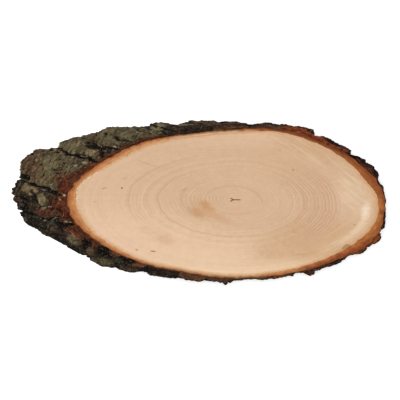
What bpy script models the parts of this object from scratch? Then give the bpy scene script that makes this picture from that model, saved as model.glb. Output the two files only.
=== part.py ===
"""An oblique slice of a log, sawn flat on both faces, with the bark left on all the way round.

Metres, +Z up. The slice lies on its underside, with +X along its longest side. The log leaned far over
under the saw, so each face is a long oval. The bark wall follows the log: it slopes outwards at the left
end, and it is undercut at the right end. Shapes are worked out in the log's own round cross-section, by
the angle round the pith and the distance from it, and then laid out on the slanted cut.
"""

import math
from dataclasses import dataclass

import bpy
import numpy as np

MM = 0.001

# Driving dimensions, mm and degrees.
THICKNESS = 18.0
LOG_LEAN = math.radians(61.5)  # between the log's axis and the normal of the sawn faces
LOG_TURN = math.radians(5.0)  # of the log's axis in plan, from the X axis
PITH = (27.25, 1.2)  # where the log's centre meets the top face, from the middle of the slice's box
JOINT_GAP = 0.3  # between the wood and the bark

# The wood's radius and the inner bark's thickness, every 15 degrees round the pith from the right end.
WOOD_RADII = (
    55.4, 55.7, 55.3, 57.0, 58.4, 58.9, 54.6, 51.7, 51.1, 51.2, 51.4, 54.3,
    59.6, 61.7, 63.3, 63.6, 63.5, 61.2, 60.7, 58.3, 55.9, 54.5, 54.0, 54.7,
)  # fmt: skip
INNER_BARK = (
    2.2, 2.7, 3.6, 3.1, 2.5, 2.3, 2.4, 2.1, 2.3, 2.9, 3.1, 3.0,
    2.3, 3.7, 3.1, 2.4, 1.9, 2.1, 2.4, 2.3, 2.5, 3.0, 4.4, 3.2,
)  # fmt: skip

# The plates of outer bark, read round the log: the angle where each starts on the top face, how far it stands
# from the pith at the top face and at the underside, and how deep the fissure before it is cut.
PLATES = (
    (12.0, 59.6, 62.0, 0.2), (26.0, 62.7, 64.0, 0.6), (37.8, 62.9, 65.0, 0.9), (46.0, 64.6, 66.0, 1.6),
    (55.0, 65.1, 67.0, 0.6), (63.5, 67.7, 66.3, 1.6), (71.8, 66.0, 65.3, 1.2), (77.0, 65.0, 64.8, 1.2),
    (83.5, 62.3, 63.6, 0.8), (90.5, 60.4, 61.2, 0.8), (100.5, 57.8, 57.3, 1.0), (108.5, 57.3, 58.6, 0.8),
    (115.5, 56.3, 56.1, 1.6), (121.0, 56.8, 56.8, 1.2), (125.5, 57.7, 59.2, 1.0), (137.5, 57.3, 59.4, 1.6),
    (145.5, 57.6, 61.6, 2.0), (158.8, 59.8, 63.6, 3.6), (163.5, 61.5, 67.6, 0.6), (171.0, 65.0, 67.9, 0.5),
    (178.0, 68.4, 67.0, 0.6), (186.0, 69.6, 69.0, 3.2), (197.0, 70.8, 69.4, 1.4), (207.0, 71.0, 70.7, 3.0),
    (219.0, 70.3, 69.3, 1.8), (226.0, 69.2, 67.2, 2.2), (233.5, 69.5, 67.5, 2.2), (242.0, 70.0, 69.3, 2.0),
    (253.0, 68.4, 68.3, 1.6), (262.5, 67.0, 66.9, 2.8), (271.0, 64.1, 65.5, 1.0), (278.0, 63.4, 65.2, 0.7),
    (285.0, 62.5, 64.0, 0.6), (291.0, 61.2, 62.5, 1.0), (297.0, 64.0, 63.0, 1.8), (302.5, 60.5, 62.2, 2.0),
    (311.0, 59.3, 61.3, 0.6), (323.0, 60.5, 62.2, 0.9), (331.0, 60.8, 62.6, 1.6), (345.5, 59.1, 61.0, 1.5),
    (356.0, 57.8, 60.4, 0.3),
)  # fmt: skip

# How the plates meet: their shoulders at a fissure, their crowned backs and the swell along the log.
FISSURE_SHOULDER = 2.0
FISSURE_WEAR = 0.5  # the share of its depth that a fissure loses on its way down to the underside
FISSURE_FLOOR = 0.8  # outer bark left under the deepest fissure
FULL_RELIEF = 3.0  # outer bark at least this thick shows the whole crown and swell
LEAST_RELIEF = 0.1  # the share of them that the thinnest bark shows
PLATE_LEAN = 0.7  # how far a plate's edges lean towards the height of the plates beside it
PLATE_CROWN = 0.4
CROWN_LEVEL = 0.5  # the part of the crown's arch that lies at the plate's own height
SWELL = 0.35
SWELL_WAVES = 6
RELIEF_SEED = 7

# The mesh: columns round the log, rows down the wall, and how many columns the fissures drift round the
# log on their way from the top face to the underside.
COLUMNS = 300
ROWS = 8
GRAIN_DRIFT = 6
SHARP_EDGE = math.radians(35)  # faces that meet at a wider turn than this keep a crisp edge


@dataclass(frozen=True)
class Finish:
    """A material's name, its colour as linear RGB, and its roughness."""

    name: str
    colour: tuple
    roughness: float


WOOD_FINISH = Finish("pale_wood", (0.71, 0.48, 0.29), 0.62)
BARK_FINISH = Finish("dark_bark", (0.105, 0.075, 0.045), 0.92)


def clear_scene():
    for found in list(bpy.data.objects):
        bpy.data.objects.remove(found)


def round_the_log(values, degrees):
    """A smooth closed curve through evenly spaced values, read at any angle."""
    values = np.array(values)
    place = np.asarray(degrees) % 360.0 / (360.0 / len(values))
    first = place.astype(int)
    along = place - first
    before, here, after, beyond = (values[(first + step) % len(values)] for step in (-1, 0, 1, 2))
    slope_here = (after - before) / 2
    slope_after = (beyond - here) / 2
    bend = 3 * (after - here) - 2 * slope_here - slope_after
    twist = 2 * (here - after) + slope_here + slope_after
    return here + along * (slope_here + along * (bend + along * twist))


def inner_bark_radius(degrees):
    return round_the_log(WOOD_RADII, degrees) + round_the_log(INNER_BARK, degrees)


def ease(share):
    """A smooth step from 0 to 1."""
    share = np.clip(share, 0.0, 1.0)
    return share * share * (3 - 2 * share)


def swell(grain_degrees, drop):
    """Gentle uneven rise and fall of the plates, from a few seeded waves."""
    draw = np.random.default_rng(RELIEF_SEED)
    total = np.zeros_like(grain_degrees)
    for _ in range(SWELL_WAVES):
        round_waves = draw.integers(7, 40)
        down_waves = draw.uniform(0.5, 2.0)
        phase = draw.uniform(0, 2 * math.pi)
        total += np.sin(round_waves * np.radians(grain_degrees) + 2 * math.pi * down_waves * drop + phase)
    return total * SWELL / math.sqrt(SWELL_WAVES)


def bark_radius(grain_degrees, degrees, drop):
    """Distance of the bark's outer surface from the pith.

    grain_degrees says which plate or fissure it is, degrees where it stands round the log, and drop how far
    down the wall, from 0 at the top face to 1 at the underside.
    """
    starts, tops, undersides, depths = np.array(PLATES).T
    widths = np.diff(starts, append=starts[0] + 360.0)
    turned = (grain_degrees - starts[0]) % 360.0 + starts[0]
    plate = np.searchsorted(starts, turned, side="right") - 1
    share = (turned - starts[plate]) / widths[plate]
    near_end = share > 0.5
    beside = np.where(near_end, plate + 1, plate - 1) % len(starts)
    fissure = np.where(near_end, plate + 1, plate) % len(starts)

    def standing(which):
        return tops[which] + (undersides[which] - tops[which]) * drop

    own = standing(plate)
    height = own + (standing(beside) - own) / 2 * PLATE_LEAN * np.abs(2 * share - 1)
    floor = inner_bark_radius(degrees) + FISSURE_FLOOR
    outer_bark = np.maximum(height - floor, 0.0)
    relief = np.clip(outer_bark / FULL_RELIEF, LEAST_RELIEF, 1.0)
    edge_distance = np.minimum(share, 1 - share) * np.radians(widths[plate]) * own
    depth = np.minimum(depths[fissure] * (1 - FISSURE_WEAR * drop), outer_bark)
    cut = depth * (1 - ease(edge_distance / FISSURE_SHOULDER))
    crown = PLATE_CROWN * (np.sin(math.pi * share) - CROWN_LEVEL)
    return np.maximum(height - cut + relief * (crown + swell(grain_degrees, drop)), floor)


def on_slice(degrees, radius, drop):
    """Points of the slice, in metres, for places in the log's cross-section at a drop below the top face."""
    angle = np.radians(degrees)
    down_log = THICKNESS * drop
    along = radius * np.cos(angle) / math.cos(LOG_LEAN) - down_log * math.tan(LOG_LEAN)
    across = radius * np.sin(angle)
    x = PITH[0] + along * math.cos(LOG_TURN) + across * math.sin(LOG_TURN)
    y = PITH[1] - along * math.sin(LOG_TURN) + across * math.cos(LOG_TURN)
    z = np.full_like(x, THICKNESS) - down_log
    return np.column_stack([x, y, z]) * MM


def band(upper, lower, lower_shift=0):
    """Quads between two closed rows of point numbers. Seen from outside, lower is below or inside upper."""
    count = len(upper)
    quads = []
    for here in range(count):
        after = (here + 1) % count
        below, below_after = ((place - lower_shift) % count for place in (here, after))
        quads.append((upper[here], lower[below], lower[below_after], upper[after]))
    return quads


def make_node(name, points, faces, finish):
    """Links a mesh object with its own Principled material, smooth but for its sawn edges."""
    mesh = bpy.data.meshes.new(name)
    mesh.from_pydata([tuple(point) for point in points], [], faces)
    mesh.validate()
    mesh.shade_smooth()
    mesh.set_sharp_from_angle(angle=SHARP_EDGE)
    material = bpy.data.materials.new(finish.name)
    material.use_nodes = True
    shader = material.node_tree.nodes["Principled BSDF"]
    shader.inputs["Base Color"].default_value = (*finish.colour, 1.0)
    shader.inputs["Roughness"].default_value = finish.roughness
    shader.inputs["Metallic"].default_value = 0.0
    mesh.materials.append(material)
    node = bpy.data.objects.new(name, mesh)
    bpy.context.scene.collection.objects.link(node)
    return node


def make_wood(degrees):
    """The pale wood: one slab between the two sawn faces."""
    radius = round_the_log(WOOD_RADII, degrees)
    rows = [on_slice(degrees, radius, drop) for drop in (0.0, 1.0)]
    top = list(range(COLUMNS))
    under = list(range(COLUMNS, 2 * COLUMNS))
    faces = band(top, under)
    faces.append(tuple(top))
    faces.append(tuple(reversed(under)))
    return make_node("wood", np.concatenate(rows), faces, WOOD_FINISH)


def make_bark(degrees):
    """The bark: a ring round the wood, flush with both sawn faces, with plates and fissures outside."""
    rows = []
    for drop in np.linspace(0.0, 1.0, ROWS + 1):
        turned = degrees - GRAIN_DRIFT * 360.0 / COLUMNS * drop
        rows.append(on_slice(turned, bark_radius(degrees, turned, drop), drop))
    inner_radius = round_the_log(WOOD_RADII, degrees) + JOINT_GAP
    rows.extend(on_slice(degrees, inner_radius, drop) for drop in (0.0, 1.0))
    numbers = np.arange(len(rows) * COLUMNS).reshape(len(rows), COLUMNS).tolist()
    wall, (inner_top, inner_under) = numbers[: ROWS + 1], numbers[ROWS + 1 :]
    faces = []
    for upper, lower in zip(wall, wall[1:]):
        faces.extend(band(upper, lower))
    faces.extend(band(inner_top, wall[0]))
    faces.extend(band(wall[-1], inner_under, GRAIN_DRIFT))
    faces.extend(band(inner_under, inner_top))
    return make_node("bark", np.concatenate(rows), faces, BARK_FINISH)


def main():
    clear_scene()
    degrees = np.arange(COLUMNS) * 360.0 / COLUMNS
    make_wood(degrees)
    make_bark(degrees)


if __name__ == "__main__":
    main()
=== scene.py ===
"""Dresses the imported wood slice: sawn wood with rings, inner bark, weathered outer bark, lichen and fibres.

Metres in the scene, millimetres and degrees in the tables. Shapes are worked out in the log's own round
cross-section, by the angle round the pith, the distance from it and the way down the wall, and then laid out
on the slanted cut, as the solids are. Colours are display colours, 0 to 255, until a shader takes them.
"""

import logging
import math
from dataclasses import dataclass
from enum import Enum
from typing import Sequence, Union

import bpy
import numpy as np
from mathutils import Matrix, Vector


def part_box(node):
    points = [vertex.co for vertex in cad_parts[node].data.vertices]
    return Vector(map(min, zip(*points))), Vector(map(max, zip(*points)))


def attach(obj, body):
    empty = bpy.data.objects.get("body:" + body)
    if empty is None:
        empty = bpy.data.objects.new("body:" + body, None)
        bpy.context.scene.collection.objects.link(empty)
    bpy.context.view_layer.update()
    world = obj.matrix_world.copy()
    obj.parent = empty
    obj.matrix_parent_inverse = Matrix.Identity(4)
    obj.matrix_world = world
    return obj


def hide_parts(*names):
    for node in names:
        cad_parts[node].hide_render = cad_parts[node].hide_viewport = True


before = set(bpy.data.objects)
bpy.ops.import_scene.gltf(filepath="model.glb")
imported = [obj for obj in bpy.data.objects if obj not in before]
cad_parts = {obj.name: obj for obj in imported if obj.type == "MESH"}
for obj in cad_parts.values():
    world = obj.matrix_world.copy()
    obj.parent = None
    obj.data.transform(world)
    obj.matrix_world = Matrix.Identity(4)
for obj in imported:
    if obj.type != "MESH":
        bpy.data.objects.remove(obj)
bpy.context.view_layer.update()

MM = 0.001
BODY = "root"
LOG = logging.getLogger("wood_slice")

Array = np.ndarray
Shade = tuple[int, int, int]
Tree = bpy.types.NodeTree
Piece = bpy.types.Object
Input = Union["Wire", float, Sequence[float], Array]


def paint(shade: Shade) -> Array:
    """A display colour as the linear one that shaders take."""
    share = np.array(shade) / 255
    return np.where(share <= 0.04045, share / 12.92, ((share + 0.055) / 1.055) ** 2.4)


def ease(share: Array) -> Array:
    """A smooth step from 0 to 1."""
    share = np.clip(share, 0.0, 1.0)
    return share * share * (3 - 2 * share)


def near(degrees: Array, facing: float, reach: float, fade: float) -> Array:
    """1 round an angle and 0 past its reach, all in degrees."""
    return ease((reach - np.abs((degrees - facing + 180.0) % 360.0 - 180.0)) / fade)


def side_of_log(degrees: Array, facing: float, start: float, fade: float) -> Array:
    """1 on the side that faces one way and 0 on the other, by the cosine of the angle between them."""
    return ease((np.cos(np.radians(degrees - facing)) - start) / fade)


def blend(below: Array, above: Array, share: Array) -> Array:
    """Colours laid over others, by a share for each point."""
    return below * (1 - share[:, None]) + above * share[:, None]


def ripples(degrees: Array, seed: int, count: int, *ranges: tuple[int, int]) -> list[Array]:
    """Adds up seeded waves round the log.

    Args:
        degrees: Where to read them.
        seed: The seed of the draw.
        count: How many waves to add up.
        *ranges: The fewest and the most crests a turn, for each sum.

    Returns:
        A sum for each range.
    """
    draw, turned = np.random.default_rng(seed), np.radians(degrees)
    sums = [np.zeros_like(turned) for _ in ranges]
    for _ in range(count):
        for total, (few, many) in zip(sums, ranges):
            total += np.sin(draw.integers(few, many) * turned + draw.uniform(0, 2 * math.pi))
    return sums


class Skin(Enum):
    """The weathered outer face of a bark plate: its colour and how rough it is."""

    CRUST = ((92, 79, 57), 0.8)
    DARK = ((50, 41, 31), 1.15)
    BROWN = ((78, 56, 38), 1.0)
    BLACK = ((32, 28, 24), 0.8)


class Heart(Enum):
    """The sawn face of a bark plate."""

    RED = (98, 50, 32)
    EMBER = (112, 54, 30)
    RUST = (124, 62, 33)
    PURPLE = (72, 39, 30)
    BROWN = (82, 56, 40)
    EARTH = (104, 66, 46)
    DARK = (44, 33, 28)


@dataclass(frozen=True)
class Plate:
    """One plate of outer bark.

    start is the angle where it begins on the top face. top and underside are how far it stands from the pith
    at each sawn face, and fissure is how deep the fissure before it is cut.
    """

    start: float
    top: float
    underside: float
    fissure: float
    skin: Skin
    heart: Heart


@dataclass(frozen=True)
class Oval:
    """A soft-edged oval place on the slice seen from above: its middle, its half sizes and its turn."""

    x: float
    y: float
    length: float
    width: float
    turn: float

    def mask(self, points: Array, softness: float, ragged: Array) -> Array:
        """How much of the oval covers each point.

        Args:
            points: Places in millimetres.
            softness: How far its edge fades, as a share of its size.
            ragged: Added to the distance, to tear the edge.

        Returns:
            Values from 0 outside to 1 inside.
        """
        turn = math.radians(self.turn)
        east, north = points[:, 0] - self.x, points[:, 1] - self.y
        along = (east * math.cos(turn) + north * math.sin(turn)) / self.length
        across = (north * math.cos(turn) - east * math.sin(turn)) / self.width
        return ease((1 + softness - np.hypot(along, across) - ragged) / (2 * softness))


@dataclass(frozen=True)
class Patch(Oval):
    """A mark of another colour."""

    colour: Shade
    strength: float = 1.0


@dataclass(frozen=True)
class Lump(Oval):
    """A place where the bark stands out, or sinks in, more than its plate does."""

    height: float


@dataclass(frozen=True)
class BoldRing:
    """A growth ring that shows more than its neighbours, on the side of the pith that it faces."""

    radius: float
    width: float
    facing: float
    reach: float
    strength: float
    colour: Shade


@dataclass(frozen=True)
class BandZone:
    """A stretch of the inner bark's ring with its own colours, by the angle that it centres on."""

    facing: float
    reach: float
    inner: Shade
    outer: Shade


PLATES = (
    Plate(12.0, 59.6, 62.0, 0.2, Skin.BLACK, Heart.DARK),
    Plate(26.0, 62.7, 64.0, 0.6, Skin.BLACK, Heart.PURPLE),
    Plate(37.8, 62.9, 65.0, 0.9, Skin.DARK, Heart.PURPLE),
    Plate(46.0, 64.6, 66.0, 1.6, Skin.BLACK, Heart.RED),
    Plate(55.0, 65.1, 67.0, 0.6, Skin.BLACK, Heart.EMBER),
    Plate(63.5, 67.7, 66.3, 1.6, Skin.DARK, Heart.EMBER),
    Plate(71.8, 66.0, 65.3, 1.2, Skin.DARK, Heart.EMBER),
    Plate(77.0, 65.0, 64.8, 1.2, Skin.BLACK, Heart.BROWN),
    Plate(83.5, 62.3, 63.6, 0.8, Skin.DARK, Heart.BROWN),
    Plate(90.5, 60.4, 61.2, 0.8, Skin.BROWN, Heart.BROWN),
    Plate(100.5, 57.8, 57.3, 1.0, Skin.DARK, Heart.DARK),
    Plate(108.5, 57.3, 58.6, 0.8, Skin.BLACK, Heart.DARK),
    Plate(115.5, 56.3, 56.1, 1.6, Skin.BLACK, Heart.DARK),
    Plate(121.0, 56.8, 56.8, 1.2, Skin.CRUST, Heart.RED),
    Plate(125.5, 57.7, 59.2, 1.0, Skin.CRUST, Heart.RED),
    Plate(137.5, 57.3, 59.4, 1.6, Skin.CRUST, Heart.RED),
    Plate(145.5, 57.6, 61.6, 2.0, Skin.CRUST, Heart.RED),
    Plate(158.8, 59.8, 63.6, 3.6, Skin.CRUST, Heart.RED),
    Plate(163.5, 61.5, 67.6, 0.6, Skin.CRUST, Heart.RED),
    Plate(171.0, 65.0, 67.9, 0.5, Skin.CRUST, Heart.RED),
    Plate(178.0, 68.4, 67.0, 0.6, Skin.CRUST, Heart.RED),
    Plate(186.0, 69.6, 69.0, 3.2, Skin.DARK, Heart.RED),
    Plate(197.0, 70.8, 69.4, 1.4, Skin.DARK, Heart.RED),
    Plate(207.0, 71.0, 70.7, 3.0, Skin.BLACK, Heart.RED),
    Plate(219.0, 70.3, 69.3, 1.8, Skin.BLACK, Heart.RED),
    Plate(226.0, 69.2, 67.2, 2.2, Skin.DARK, Heart.EARTH),
    Plate(233.5, 69.5, 67.5, 2.2, Skin.DARK, Heart.EARTH),
    Plate(242.0, 70.0, 69.3, 2.0, Skin.BLACK, Heart.DARK),
    Plate(253.0, 68.4, 68.3, 1.6, Skin.BLACK, Heart.EARTH),
    Plate(262.5, 67.0, 66.9, 2.8, Skin.BLACK, Heart.BROWN),
    Plate(271.0, 64.1, 65.5, 1.0, Skin.DARK, Heart.BROWN),
    Plate(278.0, 63.4, 65.2, 0.7, Skin.DARK, Heart.BROWN),
    Plate(285.0, 62.5, 64.0, 0.6, Skin.BROWN, Heart.RED),
    Plate(291.0, 61.2, 62.5, 1.0, Skin.DARK, Heart.BROWN),
    Plate(297.0, 64.0, 63.0, 1.8, Skin.BROWN, Heart.PURPLE),
    Plate(302.5, 60.5, 62.2, 2.0, Skin.BLACK, Heart.BROWN),
    Plate(311.0, 59.3, 61.3, 0.6, Skin.BLACK, Heart.DARK),
    Plate(323.0, 60.5, 62.2, 0.9, Skin.DARK, Heart.RUST),
    Plate(331.0, 60.8, 62.6, 1.6, Skin.DARK, Heart.RUST),
    Plate(345.5, 59.1, 61.0, 1.5, Skin.BLACK, Heart.DARK),
    Plate(356.0, 57.8, 60.4, 0.3, Skin.BLACK, Heart.DARK),
)

RING_SHADE = (176, 136, 106)
RING_GLOW = (238, 212, 182)
BOLD_RINGS = (
    BoldRing(10.9, 1.2, 80.0, 100.0, 0.24, RING_SHADE),
    BoldRing(10.9, 1.3, 275.0, 60.0, 0.26, (200, 140, 104)),
    BoldRing(19.4, 1.1, 190.0, 60.0, 0.22, RING_SHADE),
    BoldRing(24.4, 0.8, 300.0, 110.0, 0.18, RING_GLOW),
    BoldRing(26.2, 0.7, 300.0, 110.0, 0.16, RING_GLOW),
    BoldRing(27.9, 0.8, 215.0, 85.0, 0.22, RING_SHADE),
    BoldRing(29.0, 1.6, 0.0, 30.0, 0.42, RING_SHADE),
    BoldRing(32.6, 0.7, 165.0, 50.0, 0.22, RING_SHADE),
    BoldRing(39.1, 1.1, 160.0, 60.0, 0.3, RING_SHADE),
    BoldRing(40.8, 1.3, 15.0, 42.0, 0.3, RING_SHADE),
)

BAND_ZONES = (
    # Left, right, upper right, dark upper right, upper left, top, bottom, lower right
    BandZone(180.0, 200.0, (200, 138, 88), (172, 104, 58)),
    BandZone(4.0, 60.0, (176, 110, 60), (152, 84, 38)),
    BandZone(32.0, 26.0, (158, 92, 46), (138, 72, 32)),
    BandZone(64.0, 26.0, (146, 80, 40), (112, 56, 27)),
    BandZone(138.0, 26.0, (208, 154, 104), (172, 104, 58)),
    BandZone(104.0, 22.0, (214, 174, 134), (140, 86, 52)),
    BandZone(262.0, 28.0, (198, 148, 104), (112, 64, 34)),
    BandZone(318.0, 24.0, (174, 102, 56), (134, 68, 32)),
)

BARK_PATCHES = (
    # The big plate on the upper left and the plates above it, with dark patches painted as shade round and
    # under them
    Patch(-132.7, 27.0, 8.0, 5.5, 10, (84, 58, 42), 0.8),
    Patch(-127.0, 39.6, 5.0, 3.5, 0, (90, 70, 52), 0.8),
    Patch(-118.0, 31.0, 8.0, 10.0, -20, (106, 94, 68), 0.8),
    Patch(-112.0, 17.0, 16.0, 3.0, -14, (66, 56, 42), 0.7),
    Patch(-104.4, 43.2, 10.0, 5.5, 12, (108, 94, 68)),
    Patch(-87.0, 38.2, 7.0, 5.4, -10, (44, 36, 28), 0.8),
    Patch(-87.2, 39.2, 4.6, 3.0, -14, (134, 116, 84)),
    Patch(-70.0, 42.4, 13.0, 2.6, 20, (50, 40, 30), 0.75),
    # The left end: tan and lichen plates, near-black painted shade in the hollows, and torn bark
    Patch(-136.4, 9.1, 6.5, 3.8, -25, (134, 112, 80)),
    Patch(-127.0, 0.4, 3.4, 6.4, 8, (132, 116, 84)),
    Patch(-142.0, -1.0, 5.5, 6.0, 0, (32, 28, 26)),
    Patch(-132.2, 3.6, 1.8, 7.0, 24, (26, 22, 19)),
    Patch(-124.4, -8.8, 8.0, 3.2, -12, (80, 44, 33)),
    Patch(-138.8, -13.6, 2.2, 2.4, -50, (74, 64, 48), 0.8),
    Patch(-141.2, -7.0, 5.0, 2.4, 0, (24, 23, 26), 0.9),
    Patch(-129.0, -15.6, 11.0, 3.2, -22, (26, 23, 21), 0.9),
    Patch(-117.5, -21.0, 4.4, 2.6, -30, (60, 52, 40), 0.8),
    Patch(-109.0, -27.0, 8.0, 3.0, -28, (60, 38, 33), 0.7),
    Patch(-107.6, -18.6, 6.4, 1.7, -6, (18, 16, 18), 0.95),
    # The big plate's lower side and the torn bark by the cut
    Patch(-137.0, 24.0, 6.0, 5.0, 30, (92, 64, 46), 0.7),
    Patch(-124.0, 20.0, 9.0, 4.0, 0, (104, 88, 62), 0.7),
    Patch(-115.5, -3.0, 6.0, 7.0, 0, (88, 47, 34)),
    Patch(-104.0, -24.0, 6.0, 3.0, -34, (78, 48, 36), 0.8),
    # The lower left edge
    Patch(-101.6, -30.6, 5.0, 3.2, -35, (112, 100, 74)),
    Patch(-110.0, -34.0, 26.0, 3.6, -28, (30, 26, 22), 0.85),
    Patch(-80.0, -48.0, 9.0, 2.8, -14, (80, 70, 48), 0.8),
    Patch(-88.4, -40.0, 3.6, 2.4, -30, (94, 70, 52), 0.8),
    Patch(-56.4, -54.8, 11.0, 2.0, -8, (74, 56, 40), 0.7),
    Patch(-32.5, -57.6, 11.0, 4.2, -9, (30, 30, 28), 0.8),
    # The top edge
    Patch(-66.0, 52.0, 22.0, 5.0, 12, (98, 90, 64), 0.9),
    Patch(-33.0, 59.5, 6.0, 3.0, 5, (122, 112, 82)),
    Patch(-20.0, 57.0, 9.5, 6.0, 4, (38, 35, 29), 0.9),
)

BARK_MARKS = (
    # Holes and gaps on the lower left, painted near black as shade, and knuckles
    Patch(-76.6, -38.8, 5.6, 3.2, -30, (18, 23, 24)),
    Patch(-57.0, -47.4, 5.4, 2.0, -5, (18, 23, 25)),
    Patch(-90.0, -32.4, 4.4, 2.2, -35, (36, 25, 24), 0.85),
    Patch(-87.6, -38.6, 3.2, 1.8, -30, (104, 80, 58), 0.9),
    Patch(-75.0, -48.2, 6.6, 2.2, -12, (98, 88, 60), 0.85),
    Patch(-66.6, -43.4, 2.6, 1.7, -30, (92, 60, 40), 0.9),
    Patch(-61.0, -45.6, 2.0, 1.6, 0, (34, 26, 22), 0.8),
    # Black rims on the upper right
    Patch(121.6, 36.6, 4.6, 2.2, -42, (20, 17, 15)),
    Patch(106.2, 47.3, 8.0, 1.3, -27, (24, 19, 17), 0.8),
    Patch(90.0, 55.6, 4.0, 1.3, -24, (26, 20, 17), 0.85),
    Patch(128.8, 33.4, 6.4, 1.0, -38, (24, 18, 17), 0.7),
    Patch(139.4, 24.8, 3.0, 1.0, -60, (28, 20, 18), 0.6),
    # Gaps round the upper left plates, most painted dark as shade
    Patch(-140.6, 19.6, 3.4, 2.0, -30, (24, 21, 20), 0.9),
    Patch(-88.0, 43.6, 4.6, 1.3, -14, (24, 22, 20), 0.9),
    Patch(-76.6, 42.6, 5.6, 1.9, -4, (26, 27, 26), 0.85),
    Patch(-90.4, 34.6, 6.0, 1.3, -12, (22, 22, 22), 0.9),
    Patch(-112.0, 19.4, 7.0, 2.6, 30, (98, 44, 29), 0.7),
    # Pale flakes and fibres on the left
    Patch(-68.3, 43.8, 2.4, 0.7, -8, (190, 172, 148)),
    Patch(-93.2, 31.2, 1.8, 1.0, 0, (158, 146, 128)),
    Patch(-99.5, 28.8, 1.5, 0.7, 0, (144, 134, 112)),
    Patch(-130.8, 33.0, 1.2, 1.2, 0, (160, 148, 126)),
    Patch(-142.5, 24.8, 1.0, 0.9, 0, (168, 160, 140)),
    Patch(-108.4, 4.8, 1.1, 0.8, 0, (168, 156, 128)),
    Patch(-111.3, 1.2, 1.8, 0.35, -52, (150, 126, 98)),
    Patch(-107.0, -16.2, 0.9, 0.6, 0, (140, 138, 114)),
    Patch(-103.7, -16.9, 0.9, 0.55, 0, (146, 144, 120)),
    Patch(-117.0, -13.9, 2.6, 0.4, 34, (152, 140, 114)),
    Patch(-113.4, -12.9, 1.5, 0.35, -10, (140, 124, 100)),
    Patch(-123.5, -14.7, 1.5, 0.8, 40, (138, 128, 100)),
    Patch(-127.2, -13.4, 0.7, 0.6, 0, (140, 132, 108)),
    Patch(-120.4, -4.2, 1.5, 0.4, 4, (160, 142, 112)),
    Patch(-121.4, -0.4, 0.35, 1.9, 6, (128, 108, 84)),
    # Light flecks and thin lines
    Patch(-125.0, 9.4, 1.6, 0.5, -18, (134, 134, 116)),
    Patch(-139.0, 14.2, 1.3, 1.0, 0, (136, 130, 118)),
    Patch(-130.0, 8.0, 1.0, 0.8, 0, (152, 132, 98)),
    Patch(-124.6, -5.4, 2.6, 0.8, 30, (150, 136, 104)),
    Patch(-141.8, -2.4, 1.0, 1.2, 0, (110, 98, 82)),
    Patch(-119.6, 13.6, 1.0, 0.6, 0, (128, 122, 96)),
    Patch(-94.6, 36.4, 2.0, 0.5, -16, (128, 130, 118)),
    Patch(-90.2, 33.8, 1.8, 0.4, -18, (112, 116, 106)),
    Patch(-99.6, -27.6, 8.0, 0.4, -42, (138, 92, 70)),
    Patch(-12.0, 61.4, 8.0, 0.5, 2, (126, 116, 96)),
)

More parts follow.
